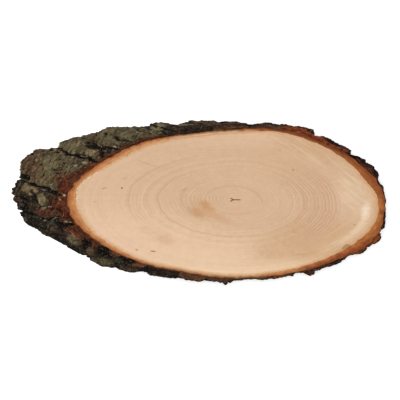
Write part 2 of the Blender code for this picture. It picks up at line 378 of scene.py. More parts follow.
LUMPS = (
    # The upper left plates
    Lump(-121.0, 28.0, 12.0, 10.0, -20, 0.6),
    Lump(-129.6, 41.2, 4.2, 3.5, 0, 1.3),
    Lump(-113.0, 24.0, 3.0, 8.0, -24, -0.7),
    Lump(-100.0, 44.6, 8.6, 5.0, 14, 1.0),
    Lump(-95.0, 35.5, 9.0, 2.2, -24, -1.2),
    Lump(-86.6, 39.4, 4.4, 3.2, -10, 1.5),
    Lump(-86.0, 45.5, 7.0, 1.8, -24, -1.4),
    Lump(-79.4, 38.6, 1.8, 3.6, 10, -1.3),
    Lump(-70.0, 49.0, 13.0, 4.4, 16, 0.5),
    Lump(-70.0, 42.0, 9.0, 1.8, 22, -0.8),
    # The left end
    Lump(-135.8, 9.4, 6.5, 3.8, -28, 1.3),
    Lump(-126.6, 1.0, 3.4, 5.6, 10, 1.5),
    Lump(-131.8, 2.8, 1.8, 7.0, 24, -1.5),
    Lump(-141.6, -1.0, 4.0, 6.0, 0, -1.2),
    Lump(-122.0, 9.5, 7.0, 1.8, -24, -1.2),
    Lump(-112.0, -6.0, 8.0, 6.0, -10, 0.6),
    Lump(-107.6, -18.4, 6.5, 1.6, -6, -1.7),
    Lump(-119.5, -14.0, 5.0, 1.6, 8, -1.3),
    # The lower left plates
    Lump(-122.0, -22.0, 7.0, 4.0, -34, 0.9),
    Lump(-99.6, -31.4, 5.6, 3.6, -35, 1.0),
    Lump(-92.6, -36.0, 1.8, 3.8, 20, -1.5),
    Lump(-87.6, -40.2, 4.2, 2.8, -30, 0.9),
    Lump(-78.0, -42.0, 7.0, 2.0, -26, -1.5),
    Lump(-76.0, -49.0, 8.0, 3.0, -14, 0.8),
    Lump(-92.0, 47.0, 6.0, 2.0, -20, 0.6),
    Lump(-64.0, 49.0, 9.0, 3.2, -22, 0.9),
    # Knees, notches and knobs along the edge on the left
    Lump(-141.0, 33.6, 2.6, 3.0, 0, 0.6),
    Lump(-148.2, -4.0, 2.4, 2.6, 0, -0.7),
    Lump(-67.6, -53.4, 1.8, 1.8, 0, -0.7),
    Lump(-139.6, 19.2, 3.2, 2.2, -30, -1.2),
    Lump(-76.6, -38.8, 5.6, 3.2, -30, -1.6),
    Lump(-56.4, -47.8, 4.6, 2.2, -5, -1.6),
    Lump(-148.0, 14.4, 3.6, 3.0, 0, -0.8),
    Lump(-149.6, 6.4, 2.8, 4.4, 0, 0.8),
    Lump(-144.4, 28.4, 3.4, 3.6, 0, 0.4),
    Lump(-143.8, -10.8, 3.0, 3.2, 0, -0.95),
    Lump(-135.4, 40.4, 4.4, 3.0, 0, -1.0),
    Lump(-119.6, 45.0, 6.0, 3.6, 10, -1.1),
    Lump(-75.6, 57.0, 8.0, 3.4, 22, 0.9),
    Lump(-47.0, -57.6, 5.0, 3.2, 0, -1.9),
    Lump(-104.0, 23.6, 6.0, 4.0, 20, 1.0),
    # Dips, notches and knobs along the edge on the right
    Lump(8.5, -65.0, 6.0, 2.4, 0, -0.9),
    Lump(22.8, -65.6, 3.4, 2.6, 0, 2.2),
    Lump(40.0, -63.4, 6.0, 2.4, 0, -0.9),
    Lump(45.0, 63.4, 7.0, 2.6, 0, -1.3),
    Lump(18.9, 65.0, 6.0, 2.4, 0, -0.9),
    Lump(66.9, 62.4, 2.2, 2.2, 0, 1.3),
    Lump(80.6, -58.2, 6.8, 3.2, 0, -2.6),
    Lump(95.0, 54.6, 3.2, 3.2, 0, -1.5),
    Lump(108.5, -51.0, 6.0, 2.6, 20, 0.7),
    Lump(122.0, -44.0, 5.0, 3.0, 20, -0.9),
    Lump(137.4, -37.0, 3.4, 3.4, 0, -0.8),
    Lump(144.8, 16.6, 3.2, 3.6, 0, -0.8),
    Lump(134.2, 30.4, 5.4, 3.2, -30, 0.7),
    Lump(123.7, 37.4, 2.2, 2.0, -30, -0.9),
    Lump(-20.4, 62.4, 3.4, 2.0, 0, -0.9),
    Lump(-15.6, -62.4, 3.4, 2.0, 0, -0.9),
    Lump(35.6, 63.8, 5.0, 2.0, 0, -0.9),
    Lump(147.4, -25.0, 3.0, 3.4, 0, -0.6),
    Lump(-90.8, -45.0, 3.0, 2.0, 0, -0.7),
    Lump(-145.2, 22.4, 2.8, 3.2, 0, -0.8),
    Lump(-50.8, 60.0, 3.6, 2.0, 0, 0.8),
    Lump(-10.8, 63.6, 5.0, 2.0, 0, 0.7),
)

WOOD_PATCHES = (
    # Wide tones
    Patch(-84.0, 2.0, 38.0, 42.0, 0, (220, 185, 150)),
    Patch(-52.0, -33.0, 62.0, 25.0, -8, (231, 195, 162)),
    Patch(12.0, -50.0, 60.0, 20.0, 0, (232, 198, 163)),
    Patch(78.0, 34.0, 44.0, 22.0, -20, (213, 175, 139)),
    Patch(92.0, -26.0, 42.0, 18.0, 20, (210, 170, 132)),
    Patch(99.0, 3.0, 18.0, 26.0, 0, (212, 172, 141), 0.7),
    Patch(122.0, 6.0, 14.0, 20.0, 0, (223, 191, 157), 0.7),
    # Along the edges
    Patch(18.0, -59.0, 66.0, 6.5, 0, (238, 206, 170), 0.8),
    Patch(62.0, -54.0, 26.0, 6.0, 8, (234, 200, 163), 0.8),
    Patch(28.0, 52.0, 50.0, 7.0, 0, (223, 188, 154), 0.7),
    Patch(84.0, 46.0, 30.0, 7.0, -20, (204, 161, 120), 0.65),
    Patch(116.0, 29.0, 22.0, 6.0, -40, (206, 167, 130), 0.55),
    Patch(136.0, 10.0, 5.0, 15.0, 18, (208, 167, 130), 0.6),
    Patch(140.0, -10.0, 5.0, 12.0, -18, (206, 167, 128), 0.5),
    Patch(-60.0, 37.0, 26.0, 4.0, 28, (224, 188, 154), 0.6),
    # The stain by the pith, and smudges
    Patch(1.4, -6.4, 10.0, 6.2, -20, (208, 162, 118), 0.7),
    Patch(5.2, -3.4, 5.0, 3.0, -35, (200, 148, 98), 0.7),
    Patch(-2.6, -8.8, 5.4, 3.0, -20, (200, 148, 100), 0.7),
    Patch(14.0, -12.4, 11.0, 2.8, -22, (208, 162, 124), 0.7),
    Patch(-28.4, -30.4, 8.0, 3.6, -14, (215, 172, 140), 0.7),
    Patch(-43.0, -23.0, 7.0, 3.0, -10, (218, 178, 146), 0.5),
    Patch(58.0, -41.0, 12.0, 4.0, -4, (212, 172, 136), 0.6),
    # Streaks at the right end
    Patch(132.5, -8.0, 6.4, 3.4, 76, (240, 217, 190), 0.9),
    Patch(129.0, -18.0, 10.0, 2.0, 52, (234, 207, 174), 0.6),
    Patch(120.0, -27.0, 15.0, 2.2, 36, (234, 204, 168), 0.5),
    Patch(104.0, -36.0, 14.0, 2.4, 24, (228, 196, 158), 0.45),
    Patch(118.0, -12.0, 5.0, 12.0, -20, (212, 172, 142), 0.4),
    Patch(108.0, -24.0, 10.0, 4.0, 30, (206, 164, 118), 0.45),
    # Single drag lines
    Patch(66.0, 47.0, 9.0, 0.8, -30, (228, 196, 162), 0.35),
    Patch(80.0, 42.0, 14.0, 0.8, -32, (228, 196, 162), 0.3),
    Patch(84.0, 37.0, 11.0, 0.6, -33, (200, 160, 124), 0.3),
    Patch(92.0, 33.0, 13.0, 0.8, -36, (228, 196, 162), 0.28),
    Patch(112.0, 27.0, 13.0, 0.9, -42, (230, 200, 168), 0.35),
    Patch(120.0, 18.0, 9.0, 0.7, -46, (204, 166, 130), 0.3),
    Patch(98.0, -40.0, 20.0, 3.2, 14, (204, 166, 120), 0.5),
)

DRAG_MARKS = (
    # Upper right edge, right end, lower right
    Patch(98.0, 33.0, 40.0, 11.0, -34, (236, 206, 174), 0.5),
    Patch(126.0, 10.0, 17.0, 21.0, -40, (236, 209, 178), 0.8),
    Patch(116.0, -26.0, 26.0, 10.0, 36, (238, 210, 176), 0.7),
)

WOOD_FLECKS = (
    # Knots, pin marks and short lines
    Patch(-62.4, 10.8, 0.7, 0.7, 0, (110, 76, 54), 0.9),
    Patch(-76.6, 10.6, 2.2, 0.6, 14, (182, 142, 110), 0.8),
    Patch(-84.0, 0.0, 1.0, 0.6, 0, (196, 156, 124), 0.6),
    Patch(-60.3, 18.6, 2.2, 0.6, 10, (194, 154, 122), 0.5),
    Patch(-58.2, 36.6, 1.2, 0.6, 20, (130, 88, 60), 0.8),
    Patch(-42.0, 30.4, 9.0, 0.5, -20, (190, 150, 116), 0.5),
    Patch(-12.4, 9.6, 2.4, 0.6, 30, (194, 152, 118), 0.7),
    Patch(-37.6, -39.8, 2.0, 0.5, -4, (140, 102, 74), 0.9),
    Patch(-50.6, -38.7, 1.0, 0.6, -20, (168, 128, 96), 0.8),
    Patch(74.6, 25.2, 1.0, 0.8, 0, (180, 138, 106), 0.8),
    Patch(63.7, 41.0, 1.4, 0.6, 0, (196, 156, 122), 0.8),
    Patch(123.7, -18.6, 1.0, 0.7, 0, (190, 146, 108), 0.9),
    Patch(76.0, -24.8, 4.0, 0.7, -8, (194, 150, 114), 0.5),
    Patch(80.5, -42.4, 5.0, 0.7, 4, (190, 148, 110), 0.5),
    Patch(117.0, -37.2, 3.8, 2.2, 34, (120, 84, 36), 1.0),
    Patch(112.0, -39.0, 4.0, 0.7, 12, (176, 138, 88), 0.7),
)


class Noise:
    """Seeded noise in three dimensions for whole arrays of points."""

    SIZE = 256

    def __init__(self, seed: int) -> None:
        """Draws the tables of directions and values.

        Args:
            seed: The seed of the draw.
        """
        draw = np.random.default_rng(seed)
        self.order = draw.permutation(self.SIZE)
        directions = draw.normal(size=(self.SIZE, 3))
        self.directions = directions / np.linalg.norm(directions, axis=1, keepdims=True)
        self.values = draw.random((self.SIZE, 4))

    def pick(self, cell: Array) -> Array:
        """A number from the table for each lattice cell."""
        x, y, z = np.moveaxis(cell, -1, 0) % self.SIZE
        return self.order[(self.order[(self.order[x] + y) % self.SIZE] + z) % self.SIZE]

    def smooth(self, points: Array) -> Array:
        """Rolling noise.

        Args:
            points: Places, in units of one bump.

        Returns:
            Values of about -1 to 1.
        """
        cell = np.floor(points).astype(int)
        inside = points - cell
        fade = inside**3 * (inside * (inside * 6 - 15) + 10)
        total = np.zeros(len(points))
        for corner in np.ndindex(2, 2, 2):
            slope = self.directions[self.pick(cell + corner)]
            share = np.prod(np.where(corner, fade, 1 - fade), axis=1)
            total += np.einsum("ij,ij->i", slope, inside - corner) * share
        return total * 1.6

    def layered(self, points: Array, octaves: int = 3, gain: float = 0.5) -> Array:
        """Noise with finer layers added, each as strong as gain times the one before."""
        layers = (gain**step * self.smooth(points * 2**step + 17.3 * step) for step in range(octaves))
        return sum(layers, np.zeros(len(points)))

    def cells(self, points: Array) -> tuple[Array, Array]:
        """Splits space into cells round scattered seeds.

        Args:
            points: Places, in units of the cells' spacing.

        Returns:
            The distance to the nearest edge between cells, and a value from 0 to 1 for each cell.
        """
        cell = np.floor(points).astype(int)
        nearest, second, value = np.full(len(points), 9.0), np.full(len(points), 9.0), np.zeros(len(points))
        for step in np.ndindex(3, 3, 3):
            there = cell + np.array(step) - 1
            drawn = self.values[self.pick(there)]
            distance = np.linalg.norm(there + drawn[:, :3] - points, axis=1)
            closer = distance < nearest
            second = np.where(closer, nearest, np.minimum(second, distance))
            value = np.where(closer, drawn[:, 3], value)
            nearest = np.where(closer, distance, nearest)
        return second - nearest, value


@dataclass(frozen=True)
class LeaningLog:
    """The log as it leaned under the saw: its outlines, and where its cross-section lands on the slice."""

    thickness: float
    lean: float = math.radians(61.5)
    turn: float = math.radians(5.0)
    pith: tuple[float, float] = (27.25, 1.2)
    grain_drift: float = 7.2
    wood_radii: tuple[float, ...] = (
        55.4, 55.8, 55.5, 57.4, 58.9, 59.3, 54.6, 51.7, 51.1, 51.2, 51.4, 54.3,
        59.6, 61.7, 63.3, 63.6, 63.5, 61.2, 60.7, 58.3, 55.9, 54.5, 54.0, 54.7,
    )
    inner_bark: tuple[float, ...] = (
        2.2, 3.0, 4.0, 2.9, 2.1, 2.1, 2.4, 2.1, 2.3, 2.9, 3.1, 3.0,
        2.3, 3.7, 3.1, 2.4, 2.1, 2.5, 2.4, 2.3, 2.9, 3.3, 4.4, 3.6,
    )

    def round_the_log(self, values: Sequence[float], degrees: Array) -> Array:
        """A smooth closed curve through evenly spaced values.

        Args:
            values: The values, from the right end round.
            degrees: Where to read the curve.

        Returns:
            The curve's value at each angle.
        """
        table = np.array(values)
        place = np.asarray(degrees) % 360.0 / (360.0 / len(table))
        first = place.astype(int)
        along = place - first
        before, here, after, beyond = (table[(first + step) % len(table)] for step in (-1, 0, 1, 2))
        slope_here, slope_after = (after - before) / 2, (beyond - here) / 2
        bend = 3 * (after - here) - 2 * slope_here - slope_after
        twist = 2 * (here - after) + slope_here + slope_after
        return here + along * (slope_here + along * (bend + along * twist))

    def wood_radius(self, degrees: Array) -> Array:
        """The wood's radius, with small tears on its edge that grow towards the left end.

        Args:
            degrees: Angles round the pith.

        Returns:
            The radius at each angle.
        """
        tears, waves = ripples(degrees, 12, 9, (60, 240), (14, 60))
        left = 0.5 - 0.5 * np.cos(np.radians(degrees))
        return self.round_the_log(self.wood_radii, degrees) + tears * (0.02 + 0.03 * left) + 0.06 * waves

    def inner_bark_radius(self, degrees: Array) -> Array:
        """The radius where inner bark gives way to outer bark, with its waves."""
        outline = self.round_the_log(self.wood_radii, degrees) + self.round_the_log(self.inner_bark, degrees)
        return outline + 0.09 * ripples(degrees, 31, 7, (16, 70))[0]

    def on_slice(self, degrees: Array, radius: Array, drop: Array) -> Array:
        """Points of the slice for places in the log's cross-section.

        Args:
            degrees: Angles round the pith.
            radius: Distances from the pith.
            drop: The way down from the top face, 0, to the underside, 1.

        Returns:
            An array of points, in millimetres.
        """
        degrees, radius, drop = (values.ravel() for values in np.broadcast_arrays(degrees, radius, drop))
        angle, down = np.radians(degrees), self.thickness * drop
        along = radius * np.cos(angle) / math.cos(self.lean) - down * math.tan(self.lean)
        across = radius * np.sin(angle)
        x = self.pith[0] + along * math.cos(self.turn) + across * math.sin(self.turn)
        y = self.pith[1] - along * math.sin(self.turn) + across * math.cos(self.turn)
        return np.column_stack([x, y, self.thickness - down])

    def in_log(self, points: Array) -> Array:
        """Turns points of the slice into the log's own frame.

        Args:
            points: Places in millimetres.

        Returns:
            The same places, with the log's axis along the third number.
        """
        east, north = points[:, 0] - self.pith[0], points[:, 1] - self.pith[1]
        along = east * math.cos(self.turn) - north * math.sin(self.turn)
        across = east * math.sin(self.turn) + north * math.cos(self.turn)
        up = points[:, 2] - self.thickness
        first = along * math.cos(self.lean) - up * math.sin(self.lean)
        return np.column_stack([first, across, along * math.sin(self.lean) + up * math.cos(self.lean)])


@dataclass(frozen=True)
class Weathering:
    """The bark's outer side: the solids' plates and fissures, with the finer relief that they leave out.

    undercut is the side whose wall faces down: where it faces, at which cosine it starts and how it fades.
    """

    log: LeaningLog
    mean_radius: float = 66.0
    undercut: tuple[float, float, float] = (20.0, -0.15, 0.5)
    undercut_calm: float = 0.55
    shoulder: float = 1.9
    fissure_wear: float = 0.5
    fissure_floor: float = 0.8
    shallow: float = 0.9
    plate_lean: float = 0.7
    crown: float = 0.4
    crown_level: float = 0.5
    grain_slant: float = 0.3
    full_relief: float = 3.0
    least_relief: float = 0.12
    least_bark: float = 0.35
    lump_softness: float = 0.35
    lump_tear: float = 0.3
    wander: float = 1.7
    swell: float = 0.8
    crack_spacing: tuple[float, float] = (9.0, 21.0)
    crack_depth: float = 0.7
    crack_width: float = 0.7
    scale_depth: float = 0.1
    scale_lift: float = 0.16
    fine_lift: float = 0.12
    fine_depth: float = 0.08
    crust_height: float = 0.26
    wrinkle_height: float = 0.55
    ledge_depth: float = 0.4
    blur_columns: int = 5
    blur_rows: int = 3
    full_hollow: float = 0.7
    seed: int = 7

    def plates(
        self, grain: Array, degrees: Array, drop: Array, bridge: Array, right: Array
    ) -> tuple[Array, ...]:
        """The plates and fissures of the solids.

        Args:
            grain: The angle that says which plate or fissure it is.
            degrees: Where it stands round the log.
            drop: The way down the wall.
            bridge: What share of its depth a fissure keeps at each point.
            right: How far the point is on the undercut side, from 0 to 1.

        Returns:
            The radius, the outer bark's thickness, how far into a fissure it is, and the plate's number.
        """
        rows = [(plate.start, plate.top, plate.underside, plate.fissure) for plate in PLATES]
        starts, tops, undersides, depths = np.array(rows).T
        widths = np.diff(starts, append=starts[0] + 360.0)
        turned = (grain - starts[0]) % 360.0 + starts[0]
        plate = np.searchsorted(starts, turned, side="right") - 1
        share = (turned - starts[plate]) / widths[plate]
        near_end = share > 0.5
        beside = np.where(near_end, plate + 1, plate - 1) % len(starts)
        depth = depths[np.where(near_end, plate + 1, plate) % len(starts)]
        own, other = (tops[row] + (undersides[row] - tops[row]) * drop for row in (plate, beside))
        lean = np.where(depth < self.shallow, 1.0, self.plate_lean)
        height = own + (other - own) / 2 * lean * np.abs(2 * share - 1)
        floor = self.log.inner_bark_radius(degrees) + self.fissure_floor * (1 - 0.7 * right)
        outer_bark = np.maximum(height - floor, 0.0)
        edge_distance = np.minimum(share, 1 - share) * np.radians(widths[plate]) * own
        hollow = 1 - ease(edge_distance / self.shoulder)
        fissure = hollow * np.clip((depth * bridge - 0.7) / 2.2, 0.0, 1.0)
        depth = depth * ease(depth / 1.4) * bridge * (1 - self.fissure_wear * drop) * (1 - 0.2 * right)
        depth = np.minimum(depth, outer_bark)
        crown = self.crown * (np.sin(math.pi * share) - self.crown_level)
        radius = np.maximum(height - depth * hollow + crown * np.clip(outer_bark / 3, 0.1, 1), floor)
        return radius, outer_bark, fissure, plate

    def weathered(self, grain: Array, drops: Array) -> dict[str, Array]:
        """The finished wall, as rows of points from the top face down.

        Args:
            grain: Each column's angle on the top face.
            drops: Each row's way down the wall.

        Returns:
            Arrays of a row for each drop, named radius, degrees, hollow, raised, streak and plate.
        """
        noise = Noise(self.seed)
        shape = (len(drops), len(grain))
        drop, turned = np.repeat(drops, len(grain)), np.tile(grain, len(drops))
        degrees = turned - self.log.grain_drift * drop
        right = side_of_log(degrees, *self.undercut)
        place = self.log.in_log(self.log.on_slice(degrees, self.mean_radius, drop))
        bent = turned + self.wander * noise.layered(place / (6, 6, 9), 3, 0.6)
        bridge = np.clip(0.85 + noise.layered(place / (9, 9, 8) + 57.0, 2), 0.25, 1.25)
        radius, outer_bark, fissure, plate = self.plates(bent, degrees, drop, bridge, right)
        rough = np.array([row.skin.value[1] for row in PLATES])[plate] * (1 - self.undercut_calm * right)
        relief = np.clip(outer_bark / self.full_relief, self.least_relief, 1.0)

        # Cracks across each plate
        draw = np.random.default_rng(self.seed)
        limits = (self.crack_spacing, (0.0, 1.0), (0.25, 1.0))
        spacing, offset, strength = (draw.uniform(*pair, len(PLATES))[plate] for pair in limits)
        bend = noise.layered(place / (4, 4, 9) + 31.0, 2)
        phase = ((place[:, 2] + 2.6 * bend) / spacing + offset) % 1.0
        crack = (1 - ease(np.abs(phase - 0.5) * spacing / self.crack_width)) * strength * (1 - 0.8 * right)

        # Scales, wrinkles, ledges and swell
        warped = place + 1.4 * noise.smooth(place / 3)[:, None]
        edge, level = noise.cells(warped / (4.6, 4.6, 7.5))
        fine_edge, fine_level = noise.cells(place / (1.9, 1.9, 2.6) + 11.0)
        slanted = self.slanted(place)
        wrinkle = noise.layered(slanted / (10.0, 10.0, 1.7) + 9.0, 3, 0.55)
        ledge = 1 - ease(np.abs(noise.layered(slanted / (9.0, 9.0, 2.6) + 71.0, 2, 0.5)) / 0.16)
        ledge = ledge * np.clip(0.6 + noise.layered(place / 6.0 + 83.0, 2), 0.0, 1.0)
        change = (
            self.swell * noise.layered(place / (9.0, 9.0, 11.0) + 23.0, 2, 0.5)
            - self.crack_depth * crack
            - self.scale_depth * (1 - ease(edge / 0.2))
            + self.scale_lift * (level - 0.5)
            + self.fine_lift * (fine_level - 0.5)
            - self.fine_depth * (1 - ease(fine_edge / 0.3))
            + self.crust_height * noise.layered(place / (2.3, 2.3, 3.0) + 5.0, 3, 0.6)
            + self.wrinkle_height * wrinkle
            - self.ledge_depth * ledge
        )
        seen = self.log.on_slice(degrees, radius, drop)
        ragged = noise.layered(place / 3.0 + 3.0, 2)
        tear = self.lump_tear * ragged
        lumps = sum(lump.height * lump.mask(seen, self.lump_softness, tear) for lump in LUMPS)
        floor = self.log.inner_bark_radius(degrees) + self.least_bark * (1 - 0.6 * right)
        finished = np.maximum(radius + relief * rough * change + lumps, floor).reshape(shape)
        # Painted shade for the hollows: how far each point sits below its smoothed neighbours, plus sunken
        # lumps and deep fissures
        sunk = (self.blurred(finished) - finished) / self.full_hollow
        sink = np.clip(-lumps / 1.6, 0.0, 0.7)
        dark = fissure * relief * (1 - np.clip(1.2 * lumps, 0.0, 1.0))
        return {
            "radius": finished,
            "degrees": degrees.reshape(shape),
            "hollow": np.clip(sunk - 0.2 + (sink + 0.9 * dark).reshape(shape), 0.0, 1.0),
            "raised": np.clip(0.55 - sunk, 0.0, 1.0),
            "streak": np.clip(0.6 + 0.6 * wrinkle - 0.6 * ledge, 0.0, 1.0).reshape(shape),
            "plate": plate.reshape(shape),
        }

    def slanted(self, place: Array) -> Array:
        """Places in the log's frame, leaned as the bark's fine layers lean."""
        return place - np.outer(self.grain_slant * place[:, 1], (0, 0, 1))

    def blurred(self, heights: Array) -> Array:
        """Smooths a wall, to tell its hollows from its ridges.

        Args:
            heights: Rows of heights.

        Returns:
            The smoothed rows.
        """
        smooth = heights
        around, down = range(-self.blur_columns, self.blur_columns + 1), range(2 * self.blur_rows + 1)
        for _ in range(2):
            smooth = sum(np.roll(smooth, step, axis=1) for step in around) / len(around)
            padded = np.pad(smooth, ((self.blur_rows, self.blur_rows), (0, 0)), mode="edge")
            smooth = sum(padded[step : step + len(heights)] for step in down) / len(down)
        return smooth


def rows_of_quads(rows: Array) -> list[list[int]]:
    """Quads between closed rows of point numbers.

    Args:
        rows: The rows, each below or inside the one before.

    Returns:
        The faces, turned outwards.
    """
    upper, lower = rows[:-1], rows[1:]
    corners = (upper, lower, np.roll(lower, -1, axis=1), np.roll(upper, -1, axis=1))
    return np.stack(corners, axis=-1).reshape(-1, 4).tolist()


def round_coordinates(degrees: Array, radius: float, third: Array) -> Array:
    """Coordinates that run round the log, for grain that follows its rings."""
    turned = np.radians(degrees)
    return np.column_stack([radius * np.cos(turned), radius * np.sin(turned), third])


def make_piece(
    name: str, points: Array, faces: list, attributes: dict[str, Array], crisp: float = 45.0
) -> Piece:
    """Links a mesh object with the values that its material reads.

    Args:
        name: The piece's name.
        points: Its points, in millimetres.
        faces: Lists of point numbers, turning left seen from outside.
        attributes: Named values for each point, one number or three.
        crisp: Faces that meet at a wider turn than this, in degrees, keep a sharp edge.

    Returns:
        The new object, at the origin.
    """
    mesh = bpy.data.meshes.new(name)
    mesh.from_pydata((points * MM).tolist(), [], faces)
    mesh.shade_smooth()
    mesh.set_sharp_from_angle(angle=math.radians(crisp))
    for key, values in attributes.items():
        kind, field = ("FLOAT_VECTOR", "vector") if values.ndim == 2 else ("FLOAT", "value")
        layer = mesh.attributes.new(key, kind, "POINT")
        layer.data.foreach_set(field, values.astype(np.float32).ravel())
    return link(name, mesh)


def link(name: str, data: bpy.types.ID) -> Piece:
    """Puts an object in the scene.

    Args:
        name: Its name.
        data: Its mesh, light or camera.

    Returns:
        The object.
    """
    item = bpy.data.objects.new(name, data)
    bpy.context.scene.collection.objects.link(item)
    return item


class Wire:
    """One output of a node. Arithmetic with wires adds Math nodes."""

    def __init__(self, graph: "Graph", socket: bpy.types.NodeSocket) -> None:
        """Keeps the output and the graph that it is in."""
        self.graph, self.socket = graph, socket

    def __add__(self, other: Input) -> "Wire":
        """The sum."""
        return self.graph.math("ADD", self, other)

    def __radd__(self, other: Input) -> "Wire":
        """The sum with a plain number first."""
        return self.graph.math("ADD", other, self)

    def __sub__(self, other: Input) -> "Wire":
        """The difference."""
        return self.graph.math("SUBTRACT", self, other)

    def __rsub__(self, other: Input) -> "Wire":
        """A plain number less this."""
        return self.graph.math("SUBTRACT", other, self)

    def __mul__(self, other: Input) -> "Wire":
        """The product."""
        return self.graph.math("MULTIPLY", self, other)

    def __truediv__(self, other: Input) -> "Wire":
        """The quotient."""
        return self.graph.math("DIVIDE", self, other)

    def sibling(self, name: str) -> "Wire":
        """Another output of the same node."""
        return Wire(self.graph, self.socket.node.outputs[name])


class Graph:
    """Adds nodes to a tree in short calls."""

    def __init__(self, tree: Tree) -> None:
        """Keeps the tree."""
        self.tree = tree

    def feed(self, socket: bpy.types.NodeSocket, value: Input) -> None:
        """Links a wire to an input, or sets the input's own value.

        Args:
            socket: The input.
            value: The wire or the value.
        """
        if isinstance(value, Wire):
            self.tree.links.new(value.socket, socket)
        elif socket.type == "RGBA":
            socket.default_value = (*value, 1.0)
        else:
            socket.default_value = value

    def add(
        self, kind: str, inputs: dict[Union[str, int], Input], output: Union[str, int] = 0, **settings: object
    ) -> Wire:
        """Adds a node.

        Args:
            kind: The node's type.
            inputs: Values or wires for its inputs, by name or number.
            output: The output to give.
            **settings: The node's own settings.

        Returns:
            That output.
        """
        node = self.tree.nodes.new(kind)
        for key, value in settings.items():
            setattr(node, key, value)
        for key, value in inputs.items():
            self.feed(node.inputs[key], value)
        return Wire(self, node.outputs[output])

    def math(self, operation: str, first: Input, second: Input = 0.0) -> Wire:
        """A Math node's result."""
        return self.add("ShaderNodeMath", {0: first, 1: second}, operation=operation)

    def vector(self, operation: str, first: Input, second: Input = (0.0, 0.0, 0.0)) -> Wire:
        """A Vector Math node's result."""
        output = "Value" if operation in ("LENGTH", "DOT_PRODUCT") else 0
        return self.add("ShaderNodeVectorMath", {0: first, 1: second}, output, operation=operation)

    def scaled(self, colour: Input, tone: Input) -> Wire:
        """A colour made lighter or darker."""
        return self.add("ShaderNodeVectorMath", {0: colour, "Scale": tone}, operation="SCALE")

    def turned(self, vector: Input, angle: Input) -> Wire:
        """Coordinates turned about the upright axis."""
        return self.add("ShaderNodeVectorRotate", {"Vector": vector, "Angle": angle}, rotation_type="Z_AXIS")

    def mix(self, share: Input, first: Input, second: Input) -> Wire:
        """One colour mixed into another."""
        return self.add("ShaderNodeMix", {0: share, 6: first, 7: second}, 2, data_type="RGBA")

    def noise(self, vector: Input, scale: float, detail: float = 2.0, roughness: float = 0.5) -> Wire:
        """A Noise Texture's value, about 0.5."""
        inputs = {"Vector": vector, "Scale": scale, "Detail": detail, "Roughness": roughness}
        return self.add("ShaderNodeTexNoise", inputs)

    def cloud(self, vector: Input, scale: Input, detail: float = 3.0, roughness: float = 0.5) -> Wire:
        """The same noise, about 0."""
        return self.noise(vector, scale, detail, roughness) - 0.5

    def waver(self, along: Wire, scale: float, detail: float) -> Wire:
        """Noise along one value, about 0."""
        inputs = {"W": along, "Scale": scale, "Detail": detail}
        return self.add("ShaderNodeTexNoise", inputs, noise_dimensions="1D") - 0.5

    def fit(self, value: Input, low: Input, high: Input) -> Wire:
        """A value's smooth place between two others, from 0 to 1."""
        inputs = {"Value": value, "From Min": low, "From Max": high}
        return self.add("ShaderNodeMapRange", inputs, interpolation_type="SMOOTHSTEP")

    def group(self, tree: Tree, inputs: dict[str, Input]) -> Wire:
        """A shader node group's result."""
        return self.add("ShaderNodeGroup", inputs, node_tree=tree)

    def named(self, name: str) -> Wire:
        """One of a mesh's named values, in a geometry tree."""
        return self.add("GeometryNodeInputNamedAttribute", {"Name": name}, data_type="FLOAT")

    def give(self, result: Wire) -> Tree:
        """Ends a node group with its result."""
        self.feed(self.tree.nodes.new("NodeGroupOutput").inputs[0], result)
        return self.tree

    def give_mesh(self, geometry: Wire, material: Wire) -> Tree:
        """Ends a geometry tree with real meshes that carry its material."""
        real = self.add("GeometryNodeRealizeInstances", {"Geometry": geometry})
        return self.give(self.add("GeometryNodeSetMaterial", {"Geometry": real, "Material": material}))


def new_group(
    name: str, kind: str, inputs: dict[str, str], result: str, of: str
) -> tuple[Graph, list[Wire]]:
    """Starts a node group with named sockets.

    Args:
        name: The group's name.
        kind: Shader or Geometry.
        inputs: Socket types of its inputs, by name.
        result: The name of its output.
        of: The output's socket type.

    Returns:
        The graph, and a wire for each input.
    """
    tree = bpy.data.node_groups.new(name, f"{kind}NodeTree")
    for label, socket in inputs.items():
        tree.interface.new_socket(name=label, in_out="INPUT", socket_type=f"NodeSocket{socket}")
    tree.interface.new_socket(name=result, in_out="OUTPUT", socket_type=f"NodeSocket{of}")
    graph, given = Graph(tree), tree.nodes.new("NodeGroupInput")
    return graph, [Wire(graph, given.outputs[label]) for label in inputs]


